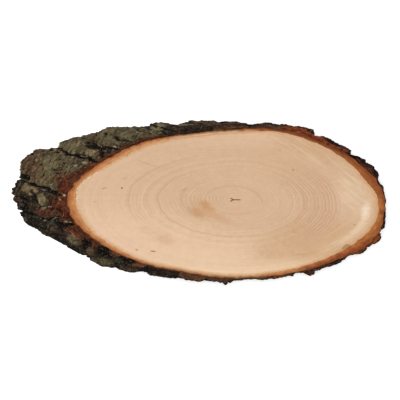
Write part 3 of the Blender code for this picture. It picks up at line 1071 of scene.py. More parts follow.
class SharedEffects:
    """The shader node groups that more than one finish uses."""

    def __init__(self) -> None:
        """Builds each group once."""
        self.soft_spot = self.make_soft_spot()
        self.mottle = self.make_mottle()
        self.speckle = self.make_speckle()
        self.fibre = self.make_fibre()
        self.bold_ring = self.make_bold_ring()

    def make_soft_spot(self) -> Tree:
        """An oval mask at a place, seen from above, with a torn edge.

        Returns:
            The group's tree.
        """
        kinds = {
            "Vector": "Vector", "Centre": "Vector", "Turn": "Float",
            "Reach": "Vector", "Softness": "Float", "Tear": "Float",
        }
        graph, given = new_group("Soft Spot", "Shader", kinds, "Mask", "Float")
        place, centre, turn, reach, softness, tear = given
        turned = graph.turned(graph.vector("SUBTRACT", place, centre), turn * -1.0)
        flat = graph.vector("MULTIPLY", graph.vector("DIVIDE", turned, reach), (1.0, 1.0, 0.0))
        distance = graph.vector("LENGTH", flat) + graph.cloud(place, 420.0) * tear
        return graph.give(1.0 - graph.fit(distance, 1.0 - softness, 1.0 + softness))

    def make_mottle(self) -> Tree:
        """Uneven tone over a colour, in wide clouds and fine grain.

        Returns:
            The group's tree.
        """
        kinds = {"Vector": "Vector", "Colour": "Color"}
        kinds |= {name: "Float" for name in ("Cloud Scale", "Cloud", "Grain Scale", "Grain")}
        graph, given = new_group("Mottle", "Shader", kinds, "Colour", "Color")
        place, colour, cloud_scale, cloud, grain_scale, grain = given
        tone = 1.0 + graph.cloud(place, cloud_scale, 3.0, 0.6) * cloud
        tone = tone + graph.cloud(place, grain_scale, 2.0, 0.6) * grain
        return graph.give(graph.scaled(colour, tone))

    def make_speckle(self) -> Tree:
        """Scattered small specks.

        Returns:
            The group's tree.
        """
        kinds = {"Vector": "Vector", "Scale": "Float", "Level": "Float", "Softness": "Float"}
        graph, (place, scale, level, softness) = new_group("Speckle", "Shader", kinds, "Mask", "Float")
        return graph.give(graph.fit(graph.noise(place, scale, 3.0, 0.65), level, level + softness))

    def make_fibre(self) -> Tree:
        """Long thin streaks, for saw marks, rays and fibres.

        Returns:
            The group's tree.
        """
        kinds = {"Vector": "Vector", "Stretch": "Vector", "Contrast": "Float"}
        graph, (place, stretch, contrast) = new_group("Fibre", "Shader", kinds, "Streak", "Float")
        return graph.give(graph.cloud(graph.vector("MULTIPLY", place, stretch), 1.0, 3.0, 0.6) * contrast)

    def make_bold_ring(self) -> Tree:
        """One ring's mask, on the side of the pith that it faces.

        Returns:
            The group's tree.
        """
        kinds = {
            "Ring": "Float", "Facing": "Vector", "Radius": "Float",
            "Width": "Float", "Towards": "Vector", "Edge": "Float",
        }
        graph, given = new_group("Bold Ring", "Shader", kinds, "Mask", "Float")
        ring, facing, radius, width, towards, edge = given
        line = 1.0 - graph.fit(graph.math("ABSOLUTE", ring - radius), 0.0, width)
        return graph.give(line * graph.fit(graph.vector("DOT_PRODUCT", facing, towards), edge, edge + 0.6))


@dataclass(frozen=True)
class Finish:
    """A material: what its colours, roughness and small relief are made of."""

    name: str
    roughness: float
    bump: float
    shine: float

    def make(self, effects: SharedEffects) -> bpy.types.Material:
        """Makes the material. Each finish has its own way."""
        raise NotImplementedError(self.name)

    def dress(self, piece: Piece, effects: SharedEffects) -> None:
        """Makes this finish the piece's only material."""
        piece.data.materials.clear()
        piece.data.materials.append(self.make(effects))


class Coat(Graph):
    """A material under way: a colour that more is laid over, call by call."""

    def __init__(self, finish: Finish, effects: SharedEffects) -> None:
        """Starts the material.

        Args:
            finish: Its finish.
            effects: The shared node groups.
        """
        self.material = bpy.data.materials.new(finish.name)
        self.material.use_nodes = True
        super().__init__(self.material.node_tree)
        self.finish, self.effects = finish, effects
        self.colour: Input = (1.0, 1.0, 1.0)
        self.shader = self.tree.nodes["Principled BSDF"]
        self.shader.inputs["Metallic"].default_value = 0.0
        self.shader.inputs["Roughness"].default_value = finish.roughness
        self.shader.inputs["Specular IOR Level"].default_value = finish.shine
        self.place = self.add("ShaderNodeTexCoord", {}, "Object")

    def read(self, name: str, output: str = "Fac") -> Wire:
        """One of the piece's named values."""
        return self.add("ShaderNodeAttribute", {}, output, attribute_name=name)

    def lay(self, share: Input, shade: Shade) -> None:
        """Lays another colour over."""
        self.colour = self.mix(share, self.colour, paint(shade))

    def tone(self, tone: Wire) -> None:
        """Makes the colour lighter or darker."""
        self.colour = self.scaled(self.colour, tone)

    def mottle(self, *sizes: float) -> None:
        """Mottles the colour, by the clouds' scale and strength and then the grain's."""
        inputs = dict(zip(("Cloud Scale", "Cloud", "Grain Scale", "Grain"), sizes))
        self.colour = self.group(self.effects.mottle, {"Vector": self.place, "Colour": self.colour, **inputs})

    def specks(self, scale: float, level: float, softness: float) -> Wire:
        """A mask of small specks."""
        inputs = {"Vector": self.place, "Scale": scale, "Level": level, "Softness": softness}
        return self.group(self.effects.speckle, inputs)

    def streaks(self, place: Wire, stretch: Sequence[float], contrast: float) -> Wire:
        """Long thin streaks."""
        return self.group(self.effects.fibre, {"Vector": place, "Stretch": stretch, "Contrast": contrast})

    def spot(self, patch: Patch, softness: float, tear: float) -> Wire:
        """The mask of a soft oval mark.

        Args:
            patch: The mark.
            softness: How far its edge fades, as a share of its size.
            tear: How torn its edge is.

        Returns:
            The mask.
        """
        inputs = {
            "Vector": self.place,
            "Centre": (patch.x * MM, patch.y * MM, 0.0),
            "Turn": math.radians(patch.turn),
            "Reach": (patch.length * MM, patch.width * MM, 1.0),
            "Softness": softness,
            "Tear": tear,
        }
        return self.group(self.effects.soft_spot, inputs)

    def done(self, height: Wire, distance: float) -> bpy.types.Material:
        """Feeds the shader its colour and its small relief.

        Args:
            height: The relief's height.
            distance: How far a height of 1 stands out, in metres.

        Returns:
            The material.
        """
        self.feed(self.shader.inputs["Base Color"], self.colour)
        inputs = {"Strength": self.finish.bump, "Distance": distance, "Height": height}
        self.feed(self.shader.inputs["Normal"], self.add("ShaderNodeBump", inputs))
        return self.material


@dataclass(frozen=True)
class SawnWood(Finish):
    """Pale sawn wood, with rings, stains, knots and saw marks."""

    base: Shade = (216, 180, 145)
    ring_line: Shade = (186, 146, 114)
    edge: Shade = (206, 152, 102)
    # Pale torn fibres, partly their own colour and partly painted highlight
    torn_fibre_highlight: Shade = (246, 226, 200)
    gap: Shade = (140, 92, 62)
    check: Shade = (84, 38, 16)
    pore: Shade = (180, 140, 106)
    ring_spacing: float = 1.4
    patch_edge: tuple[float, float] = (0.65, 1.2)
    fleck_edge: tuple[float, float] = (0.45, 0.5)
    drag_edge: tuple[float, float] = (0.6, 0.6)

    def make(self, effects: SharedEffects) -> bpy.types.Material:
        """Makes the material.

        Args:
            effects: The shared node groups.

        Returns:
            The material.
        """
        coat = Coat(self, effects)
        coat.colour = paint(self.base)
        for patches, edge in ((WOOD_PATCHES, self.patch_edge), (WOOD_FLECKS, self.fleck_edge)):
            for patch in patches:
                coat.lay(coat.spot(patch, *edge) * patch.strength, patch.colour)
        for patch in DRAG_MARKS:
            turned = coat.turned(coat.place, -math.radians(patch.turn))
            streak = coat.math("MAXIMUM", coat.streaks(turned, (40.0, 760.0, 30.0), 3.0), 0.0)
            coat.lay(coat.spot(patch, *self.drag_edge) * streak * patch.strength, patch.colour)
        line = self.lay_rings(coat)

        saw = coat.streaks(coat.place, (16.0, 900.0, 30.0), 1.0)
        rays = coat.streaks(coat.read("ray", "Vector"), (30.0, 30.0, 4.0), 1.0)
        coat.tone(1.0 + (saw + rays) * 0.07)
        coat.mottle(60.0, 0.08, 240.0, 0.1)
        coat.mottle(420.0, 0.07, 1100.0, 0.14)
        coat.lay(coat.specks(650.0, 0.66, 0.08) * 0.2, self.pore)
        coat.lay(coat.read("edge_fade"), self.edge)
        # Torn fibres at the left end: pale specks, partly the fibres' own colour and partly painted
        # highlight, with darker gaps between
        torn = coat.read("torn")
        coat.lay(torn * coat.specks(700.0, 0.5, 0.06), self.torn_fibre_highlight)
        coat.lay(torn * coat.specks(900.0, 0.56, 0.04) * 0.55, self.gap)
        coat.lay(coat.read("check"), self.check)
        uneven = self.roughness - 0.07 + coat.noise(coat.place, 300.0) * 0.14
        coat.feed(coat.shader.inputs["Roughness"], uneven)
        return coat.done(saw * 0.8 + line + coat.noise(coat.place, 1400.0) * 0.7, 0.0001)

    def lay_rings(self, coat: Coat) -> Wire:
        """Lays the growth rings over the wood: a fine line for each, and the few that show more.

        Args:
            coat: The material under way.

        Returns:
            The strength of the fine lines.
        """
        facing = coat.read("ray", "Vector")
        sway = coat.cloud(coat.place, 40.0) * 1.4 + coat.cloud(coat.place, 110.0) * 1.5
        swayed = coat.read("ring") + (sway + coat.cloud(coat.place, 240.0) * 1.1)
        uneven = coat.waver(swayed, 0.3, 2.0) * 1.4
        phase = coat.math("FRACT", (swayed + uneven) / self.ring_spacing)
        saw_tooth = coat.fit(phase, 0.3, 0.86) * (1.0 - coat.fit(phase, 0.86, 1.0))
        line = saw_tooth * coat.fit(coat.noise(coat.place, 30.0), 0.25, 0.7)
        coat.lay(line * coat.read("ring_show"), self.ring_line)
        coat.tone(1.0 + coat.waver(swayed, 0.45, 1.0) * 0.11)
        for bold in BOLD_RINGS:
            turn = math.radians(bold.facing)
            inputs = {
                "Ring": swayed,
                "Facing": facing,
                "Radius": bold.radius,
                "Width": bold.width,
                "Towards": (math.cos(turn), math.sin(turn), 0.0),
                "Edge": math.cos(math.radians(bold.reach)),
            }
            coat.lay(coat.group(coat.effects.bold_ring, inputs) * bold.strength, bold.colour)
        return line


@dataclass(frozen=True)
class FibrousBark(Finish):
    """The orange inner bark: each stretch's colours, streaked and mottled, with a dark line outside."""

    dark: Shade = (76, 40, 22)
    blotch: Shade = (110, 58, 28)

    def make(self, effects: SharedEffects) -> bpy.types.Material:
        """Makes the material.

        Args:
            effects: The shared node groups.

        Returns:
            The material.
        """
        coat = Coat(self, effects)
        rust = coat.read("rust")
        ragged = coat.read("across") + coat.cloud(coat.place, 260.0) * 0.8
        inner, outer = coat.read("inner_tint", "Color"), coat.read("outer_tint", "Color")
        coat.colour = coat.mix(coat.fit(ragged, 0.1, 0.85), inner, outer)
        fibres = coat.streaks(coat.read("layers", "Vector"), (0.22, 0.22, 1.3), 1.2)
        coat.tone(1.0 + fibres)
        coat.mottle(110.0, 0.5, 700.0, 0.35)
        for scale, level, share in ((480.0, 0.58, 0.3), (130.0, 0.5, 0.45)):
            coat.lay(coat.specks(scale, level, 0.22) * share * (0.25 + rust), self.blotch)
        coat.lay(coat.fit(ragged - rust * 0.14, 0.8, 1.06) * 0.88, self.dark)
        return coat.done(fibres + coat.noise(coat.place, 900.0, 3.0), 0.0003)


@dataclass(frozen=True)
class WeatheredBark(Finish):
    """The outer bark: each plate's own colour, with painted shade in its hollows and crust on what stands
    out.
    """

    crust: Shade = (134, 122, 92)
    moss: Shade = (80, 76, 46)
    speck: Shade = (170, 158, 132)
    # Near black, for the painted shade in the hollows
    hollow_shade: Shade = (17, 14, 12)
    dust: Shade = (150, 138, 116)
    reddish: Shade = (92, 60, 43)

    def make(self, effects: SharedEffects) -> bpy.types.Material:
        """Makes the material.

        Args:
            effects: The shared node groups.

        Returns:
            The material.
        """
        coat = Coat(self, effects)
        coat.colour = coat.read("tint", "Color")
        coat.mottle(170.0, 0.9, 800.0, 1.0)
        coat.lay(coat.fit(coat.noise(coat.place, 95.0, 3.0), 0.5, 0.66) * 0.45, self.reddish)
        grain = coat.read("grain", "Vector")
        lines = 0.54 + coat.read("streak") * 0.6
        lines = lines + coat.streaks(grain, (0.12, 0.12, 0.8), 2.6)
        lines = lines + coat.streaks(grain, (0.25, 0.25, 1.6), 2.0)
        standing = coat.read("crusted") * coat.read("raised")
        for scale, level, share, shade in (
            (420.0, 0.5, 0.6, self.crust),
            (150.0, 0.55, 0.45, self.moss),
            (640.0, 0.66, 0.5, self.speck),
        ):
            coat.lay(coat.specks(scale, level, 0.07) * (standing * share), shade)
        coat.tone(coat.math("MAXIMUM", lines, 0.15))
        # Painted shade: the hollows, the fissures and the wall's foot darkened towards near black
        hollow_shade = coat.fit(coat.read("hollow") + coat.cloud(coat.place, 500.0) * 0.3, 0.05, 0.8)
        coat.lay(hollow_shade * 0.95, self.hollow_shade)
        coat.lay(coat.specks(760.0, 0.63, 0.06) * 0.85 * coat.read("dusty"), self.dust)
        height = coat.noise(coat.place, 900.0, 4.0, 0.65) + coat.noise(coat.place, 2400.0)
        return coat.done(height, 0.0006)


@dataclass(frozen=True)
class Flecked(Finish):
    """Lichen flakes and torn fibres: one colour fading into another from place to place."""

    light: Shade = (150, 138, 108)
    dull: Shade = (90, 80, 58)

    def make(self, effects: SharedEffects) -> bpy.types.Material:
        """Makes the material.

        Args:
            effects: The shared node groups.

        Returns:
            The material.
        """
        coat = Coat(self, effects)
        coat.colour = paint(self.dull)
        coat.lay(coat.fit(coat.noise(coat.place, 240.0), 0.38, 0.62), self.light)
        coat.mottle(500.0, 0.4, 2200.0, 0.4)
        return coat.done(coat.noise(coat.place, 1800.0, 3.0), 0.0003)


def apply_tree(piece: Piece, tree: Tree, values: dict[str, object]) -> None:
    """Runs a geometry node tree on a piece and keeps its result as a plain mesh.

    Args:
        piece: The piece, whose mesh the tree starts from.
        tree: The tree.
        values: Values for the tree's named inputs.
    """
    modifier = piece.modifiers.new(tree.name, "NODES")
    modifier.node_group = tree
    for item in tree.interface.items_tree:
        if item.item_type == "SOCKET" and item.in_out == "INPUT" and item.name in values:
            modifier[item.identifier] = values[item.name]
    evaluated = piece.evaluated_get(bpy.context.evaluated_depsgraph_get())
    mesh = bpy.data.meshes.new_from_object(evaluated)
    piece.modifiers.remove(modifier)
    piece.data = mesh
    mesh.name = piece.name


@dataclass(frozen=True)
class WoodSlab:
    """The sawn wood: a disc of rings on each face, with the pith's check, worn edges and sawn relief.

    bands says how finely a face is divided, from the edge in: down to a share of the radius, how many points
    a row has and how far the next row is. check_lines are the ends of each line of the check, from the pith.
    """

    log: LeaningLog
    columns: int = 1200
    check_depth: float = 0.9
    check_width: float = 0.22
    edge_wear: float = 0.25
    wear_width: float = 0.9
    fade_width: float = 2.3
    torn_width: float = 1.3
    round_core: float = 0.45
    fine_rings: float = 0.56
    faint_rings: float = 0.12
    ring_depth: float = 0.035
    saw_depth: float = 0.03
    seed: int = 3
    bands: tuple[tuple[float, int, float], ...] = (
        (0.985, 1200, 0.005), (0.5, 600, 0.0115), (0.25, 300, 0.0115), (0.045, 150, 0.009),
        (0.006, 75, 0.002),
    )
    check_lines: tuple[tuple[float, float, float, float], ...] = (
        (-2.5, 1.3, -0.5, 0.2), (-2.7, -1.0, -0.5, 0.2), (-0.5, 0.2, 4.6, 0.1),
    )

    def rows(self) -> tuple[list[float], list[int]]:
        """The rows of a face, from the edge in.

        Returns:
            Their shares of the radius, and how many points each has.
        """
        shares, counts, share = [], [], 1.0
        for limit, count, pace in self.bands:
            while share > limit:
                shares.append(share)
                counts.append(count)
                share -= pace
        return shares, counts

    def face(self, top: bool) -> tuple[Array, list[list[int]], dict[str, Array]]:
        """One sawn face.

        Args:
            top: True for the top face, False for the underside.

        Returns:
            Its points, its faces and its named values.
        """
        shares, counts = self.rows()
        rows = np.split(np.arange(sum(counts)), np.cumsum(counts)[:-1])
        degrees = np.append(np.concatenate([np.arange(count) * 360.0 / count for count in counts]), 0.0)
        part = np.append(np.repeat(shares, counts), 0.0)
        radius = self.log.wood_radius(degrees) * part
        points = self.log.on_slice(degrees, radius, 0.0 if top else 1.0)
        faces: list[list[int]] = []
        for outer, inner in zip(rows, rows[1:]):
            inner_after = np.roll(inner, -1)
            if len(outer) == len(inner):
                kinds = [(outer, np.roll(outer, -1), inner_after, inner)]
            else:
                even, odd = outer[0::2], outer[1::2]
                kinds = [(even, odd, inner), (inner, odd, inner_after), (odd, np.roll(even, -1), inner_after)]
            for corners in kinds:
                faces.extend(np.column_stack(corners).tolist())
        last = rows[-1]
        faces.extend(np.column_stack([last, np.roll(last, -1), np.full(len(last), len(part) - 1)]).tolist())
        if not top:
            faces = [corners[::-1] for corners in faces]
        return points, faces, self.marks(points, degrees, part, radius, top)

    def check(self, points: Array) -> Array:
        """How far each point is into the open check at the pith, whose point is the last.

        Args:
            points: A face's points.

        Returns:
            Values from 0 to 1.
        """
        check = np.zeros(len(points))
        for x0, y0, x1, y1 in self.check_lines:
            start, run = np.array([x0, y0]), np.array([x1 - x0, y1 - y0])
            there = points[:, :2] - points[-1, :2] - start
            share = np.clip(there @ run / (run @ run), 0, 1)
            distance = np.linalg.norm(there - share[:, None] * run, axis=1)
            check = np.maximum(check, 1 - ease(distance / (2 * self.check_width)))
        return check

    def marks(self, points: Array, degrees: Array, part: Array, radius: Array, top: bool) -> dict[str, Array]:
        """Sinks the check and the worn edge into a face, and works out what its material reads.

        Args:
            points: The face's points, which are moved.
            degrees: Their angles round the pith.
            part: Their shares of the radius.
            radius: Their distances from the pith.
            top: True for the top face.

        Returns:
            The named values.
        """
        check = self.check(points)
        from_edge = (1 - part) * radius / np.maximum(part, 0.01)
        ragged = Noise(self.seed).layered(points / 2.2, 2)
        wear = self.edge_wear * (1 - ease(from_edge / self.wear_width))
        wear = wear * (0.6 + 0.6 * np.clip(ragged, -0.5, 1))
        sink = self.check_depth * check + np.maximum(wear, 0)
        points[:, 2] += -sink if top else sink

        topward = side_of_log(degrees, 90.0, 0.2, 0.7) * side_of_log(degrees, 180.0, -0.5, 0.8)
        end = side_of_log(degrees, 180.0, 0.955, 0.03)
        fade = (1 - ease((from_edge + 0.6 * ragged) / self.fade_width)) * (0.72 + 0.2 * topward)
        fade = fade * (1 - 0.7 * end) * (1 - 0.6 * near(degrees, 56.0, 26.0, 14.0))
        torn = (1 - ease((from_edge + 0.4 * ragged) / self.torn_width)) * end

        # Round rings at the pith, which take on the wood's outline further out
        soft = np.array(self.log.wood_radii)
        for _ in range(4):
            soft = (np.roll(soft, 1) + 2 * soft + np.roll(soft, -1)) / 4
        followed = radius / self.log.round_the_log(soft, degrees) * float(np.mean(self.log.wood_radii))
        follow = ease(part / self.round_core)
        ring = radius * (1 - follow) + followed * follow
        leftward = side_of_log(degrees, 180.0, 0.3, 0.6) * ease((43.0 - ring) / 8.0)
        rightward = side_of_log(degrees, 5.1566, 0.45, 0.4)
        rightward = rightward * ease((ring - 20.0) / 6.0) * ease((44.0 - ring) / 4.0)
        return {
            "ring": ring,
            "ring_show": np.maximum(self.fine_rings * np.maximum(leftward, rightward), self.faint_rings),
            "edge_fade": np.clip(fade, 0, 1),
            "torn": np.clip(torn, 0, 1),
            "check": np.clip(check * 1.2, 0, 1),
            "ray": round_coordinates(degrees, 1.0, part * 0.05),
            "face_side": np.full(len(points), 1.0 if top else -1.0),
        }

    def relief_tree(self) -> Tree:
        """The geometry nodes that raise the rings and the saw marks.

        Returns:
            The tree.
        """
        kinds = {
            "Geometry": "Geometry", "Ring Spacing": "Float", "Ring Depth": "Float",
            "Saw Depth": "Float", "Seed": "Float", "Material": "Material",
        }
        graph, given = new_group("Sawn Relief", "Geometry", kinds, "Geometry", "Geometry")
        geometry, ring_spacing, ring_depth, saw_depth, seed, material = given
        rings = graph.math("SINE", graph.named("ring") / ring_spacing * (2 * math.pi)) * ring_depth
        position = graph.add("GeometryNodeInputPosition", {})
        drawn = graph.vector("MULTIPLY", position, (30.0, 700.0, 0.0))
        inputs = {"Vector": drawn, "W": seed, "Scale": 1.0, "Detail": 2.0}
        saw = (graph.add("ShaderNodeTexNoise", inputs, noise_dimensions="4D") - 0.5) * saw_depth
        lift = (rings + saw - 0.00006) * graph.named("face_side")
        offset = graph.add("ShaderNodeCombineXYZ", {"Z": lift})
        moved = graph.add("GeometryNodeSetPosition", {"Geometry": geometry, "Offset": offset})
        return graph.give_mesh(moved, material)

    def build(self, finish: SawnWood, effects: SharedEffects) -> Piece:
        """Builds the slab.

        Args:
            finish: Its finish.
            effects: The shared node groups.

        Returns:
            The finished piece.
        """
        top_points, top_faces, top_values = self.face(True)
        low_points, low_faces, low_values = self.face(False)
        count, rim = len(top_points), np.arange(self.columns)
        degrees = rim * 360.0 / self.columns
        edge = self.log.wood_radius(degrees)
        middle = [self.log.on_slice(degrees, edge, drop) for drop in (0.25, 0.5, 0.75)]
        rows = [rim, *(2 * count + rim + self.columns * step for step in range(3)), rim + count]
        faces = top_faces + [[number + count for number in corners] for corners in low_faces]
        faces += rows_of_quads(np.array(rows))
        values = {}
        for key, top in top_values.items():
            filler = float(np.mean(self.log.wood_radii)) if key == "ring" else 0.0
            between = np.full((3 * self.columns, *top.shape[1:]), filler)
            values[key] = np.concatenate([top, low_values[key], between])
        piece = make_piece("sawn_wood", np.vstack([top_points, low_points, *middle]), faces, values)
        finish.dress(piece, effects)
        settings = {
            "Ring Spacing": finish.ring_spacing,
            "Ring Depth": self.ring_depth * MM,
            "Saw Depth": self.saw_depth * MM,
            "Seed": float(self.seed),
            "Material": piece.data.materials[0],
        }
        apply_tree(piece, self.relief_tree(), settings)
        return piece


@dataclass(frozen=True)
class BarkRing:
    """A closed ring of bark, built as rows round its section."""

    log: LeaningLog
    columns: int = 1200
    cut_rows: int = 7
    wall_rows: int = 3
    inner_rows: int = 3

    def lay_out(self) -> tuple[Array, Array, Array]:
        """Goes across the top cut, down the wall, back across the underside and up inside.

        Returns:
            For each row, its share of the way across, its drop, and its side: 1 on the top cut, -1 on the
            underside's and 0 elsewhere.
        """
        across, wall = np.linspace(0, 1, self.cut_rows), np.linspace(0, 1, self.wall_rows + 2)[1:-1]
        inside = np.linspace(1, 0, self.inner_rows + 2)[1:-1]
        shares = np.concatenate([across, np.ones(self.wall_rows), across[::-1], np.zeros(self.inner_rows)])
        drops = np.concatenate([np.zeros(self.cut_rows), wall, np.ones(self.cut_rows), inside])
        sides = np.repeat([1, 0, -1, 0], [self.cut_rows, self.wall_rows, self.cut_rows, self.inner_rows])
        return shares, drops, sides

    def faces(self, points: Array) -> list[list[int]]:
        """The ring's faces, with the last row joined to the first."""
        numbers = np.arange(len(points)).reshape(-1, self.columns)
        return rows_of_quads(np.vstack([numbers, numbers[:1]]))


@dataclass(frozen=True)
class InnerBark(BarkRing):
    """The ring of orange inner bark between the wood and the outer bark."""

    sink: float = 0.12
    roughness: float = 0.09
    seed: int = 21

    def build(self, finish: FibrousBark, effects: SharedEffects) -> Piece:
        """Builds the ring.

        Args:
            finish: Its finish.
            effects: The shared node groups.

        Returns:
            The finished piece.
        """
        rows = self.lay_out()
        share, drop, side = (np.repeat(values, self.columns) for values in rows)
        degrees = np.tile(np.arange(self.columns) * 360.0 / self.columns, len(rows[0]))
        inner = self.log.wood_radius(degrees)
        width = self.log.inner_bark_radius(degrees) - inner
        points = self.log.on_slice(degrees, inner + width * share, drop)
        torn = Noise(self.seed).layered(points / 1.8, 3)
        points[:, 2] -= side * (self.sink * np.sin(math.pi * share) + self.roughness * (1 + torn))
        values = {
            "across": share,
            "rust": side_of_log(degrees, 8.0, -0.1, 0.5),
            "layers": round_coordinates(degrees, 60.0, share * width.mean()),
            "inner_tint": self.tint(degrees, "inner"),
            "outer_tint": self.tint(degrees, "outer"),
        }
        piece = make_piece("inner_bark", points, self.faces(points), values)
        finish.dress(piece, effects)
        return piece

    def tint(self, degrees: Array, edge: str) -> Array:
        """The band's colours along one of its edges, blended from zone to zone.

        Args:
            degrees: Angles round the pith.
            edge: inner, by the wood, or outer.

        Returns:
            A colour for each angle.
        """
        colour = np.zeros((len(degrees), 3))
        for zone in BAND_ZONES:
            share = near(degrees, zone.facing, zone.reach, 0.5 * zone.reach)
            colour = blend(colour, paint(getattr(zone, edge)), share)
        return colour


@dataclass(frozen=True)
class OuterBark(BarkRing):
    """The outer bark: its sawn faces and its weathered wall, closed on the inner bark's side."""

    cut_rows: int = 9
    wall_rows: int = 56
    cut_roughness: float = 0.16
    rim_wear: float = 0.5
    rim_start: float = 0.66
    rim_fade: float = 0.24
    rim_strength: float = 0.88
    vein_strength: float = 0.6
    foot_shade: float = 0.55
    whole: float = 0.999
    rim: Shade = (36, 28, 23)
    vein: Shade = (38, 25, 19)
    darkest: float = 0.002
    seed: int = 5

    def build(self, finish: WeatheredBark, effects: SharedEffects) -> Piece:
        """Builds the ring.

        Args:
            finish: Its finish.
            effects: The shared node groups.

        Returns:
            The finished piece.
        """
        rows = self.lay_out()
        share, drop, side = (np.repeat(values, self.columns) for values in rows)
        grain = np.arange(self.columns) * 360.0 / self.columns
        weathering, steps = Weathering(self.log), self.wall_rows + 1
        wall = weathering.weathered(grain, np.linspace(0, 1, steps + 1))
        row = np.round(rows[1] * steps).astype(int)
        laid = {key: values[row].ravel() for key, values in wall.items()}
        degrees = np.tile(grain, len(row)) - self.log.grain_drift * drop
        inner = self.log.inner_bark_radius(degrees)
        width = laid["radius"] - inner
        points = self.log.on_slice(degrees, inner + width * share, drop)
        torn = Noise(self.seed).layered(points / (1.6, 1.1, 1.6), 3, 0.6)
        wear = self.rim_wear * ease((share - 0.55) / 0.45) * np.clip(0.4 + torn, 0, 1)
        points[:, 2] -= (self.cut_roughness * (1 + torn) + wear) * np.clip(share * 6, 0, 1) * side
        # Painted shade along the foot of the wall, added to the hollows' painted shade
        foot = self.foot_shade * ease((drop - 0.955) / 0.045) * (side == 0)
        laid["hollow"] = np.clip(laid["hollow"] + foot, 0, 1)
        on_cut = (side != 0) & (share < self.whole)
        values = self.colours(points, laid, share, side, torn, on_cut)
        rings = round_coordinates(degrees, 60.0, 1.4 * share * width)
        values["grain"] = np.where(on_cut[:, None], rings, weathering.slanted(self.log.in_log(points)))
        piece = make_piece("outer_bark", points, self.faces(points), values, crisp=60.0)
        finish.dress(piece, effects)
        return piece

    def colours(
        self, points: Array, laid: dict[str, Array], share: Array, side: Array, torn: Array, on_cut: Array
    ) -> dict[str, Array]:
        """What the bark's material reads at each point.

        Args:
            points: The ring's points.
            laid: The weathered wall's values.
            share: The share of the way across from the inner bark.
            side: 1 on the top cut, -1 on the underside's and 0 elsewhere.
            torn: How the saw tore each point.
            on_cut: Which points are on a cut.

        Returns:
            The named values.
        """
        noise, plate = Noise(self.seed + 1), laid["plate"]
        ragged = noise.layered(points / 3.0, 3, 0.6)
        skin = np.array([paint(row.skin.value[0]) for row in PLATES])[plate]
        crusted = np.array([0.9 if row.skin is Skin.CRUST else 0.3 for row in PLATES])[plate]
        for patch in BARK_PATCHES:
            skin = blend(skin, paint(patch.colour), patch.mask(points, 0.22, 0.3 * ragged) * patch.strength)
        heart = self.sawn(points, laid["degrees"], plate, share, side, ragged, noise, skin)
        tint = np.where(on_cut[:, None], heart, skin)
        # Painted shade: the wall's hollows, and on the cuts the more deeply torn places
        hollow = np.where(on_cut, np.clip(0.4 * torn - 0.1, 0, 0.7), laid["hollow"])
        for patch in BARK_MARKS:
            mask = patch.mask(points, 0.3, 0.4 * ragged) * patch.strength
            # Dark marks deepen the painted shade of the hollows; light marks lift it
            dark = sum(patch.colour) < 90
            hollow = np.maximum(hollow, 0.7 * mask) if dark else hollow * (1 - 0.8 * mask)
            tint = blend(tint, paint(patch.colour), mask)
        return {
            "tint": tint,
            "hollow": hollow,
            "raised": np.where(on_cut, 0.2, laid["raised"]),
            "streak": np.where(on_cut, 0.5, laid["streak"]),
            "crusted": np.where(on_cut, 0.1, crusted),
            "dusty": np.where(on_cut, 0.35, 1.0),
            "wall_only": np.where((side == 0) & (share > self.whole), laid["raised"] * crusted, 0.0),
            "rim_only": np.where((side == 1) & (share > 0.5), 1.0, 0.0),
        }

    def sawn(
        self, points: Array, degrees: Array, plate: Array, share: Array, side: Array, ragged: Array,
        noise: Noise, skin: Array,
    ) -> Array:
        """The colours of the sawn bark: each plate's own, veined, with a dark rim.

        Args:
            points: The ring's points.
            degrees: Their angles round the pith.
            plate: Their plates' numbers.
            share: Their shares of the way across.
            side: 1 on the top cut, -1 on the underside's and 0 elsewhere.
            ragged: Noise that tears the rim's edge.
            noise: The noise to draw more from.
            skin: The wall's colours, which show where the rim is worn.

        Returns:
            A colour for each point.
        """
        left, right = side_of_log(degrees, 180.0, 0.3, 0.4), side_of_log(degrees, 30.0, 0.1, 0.4)
        upper_right = near(degrees, 60.0, 24.0, 14.0)
        shift = self.rim_start + 0.18 * left - 0.06 * right + 0.15 * upper_right
        rim = ease((share + 0.22 * ragged - shift) / self.rim_fade) * self.rim_strength
        rim = rim * np.where(side == 1, 1.0, 0.5)
        tone = (1 + 0.35 * upper_right) * (1 + 0.55 * noise.layered(points / (2.6, 1.6, 2.0), 2))
        tone = tone * (1 - 0.35 * near(degrees, 134.0, 16.0, 8.0))
        heart = np.array([paint(row.heart.value) for row in PLATES])[plate] * tone[:, None]
        vein = ease((noise.layered(points / (5.0, 2.4, 3.0) + 41.0, 3, 0.6) - 0.1) / 0.4)
        vein = vein * self.vein_strength
        heart = np.maximum(blend(blend(heart, paint(self.vein), vein), paint(self.rim), rim), self.darkest)
        worn = ease((share + 0.3 * ragged - 0.5) / 0.2) * near(degrees, 138.0, 20.0, 10.0) * (side == 1)
        return blend(heart, 0.8 * skin, worn)


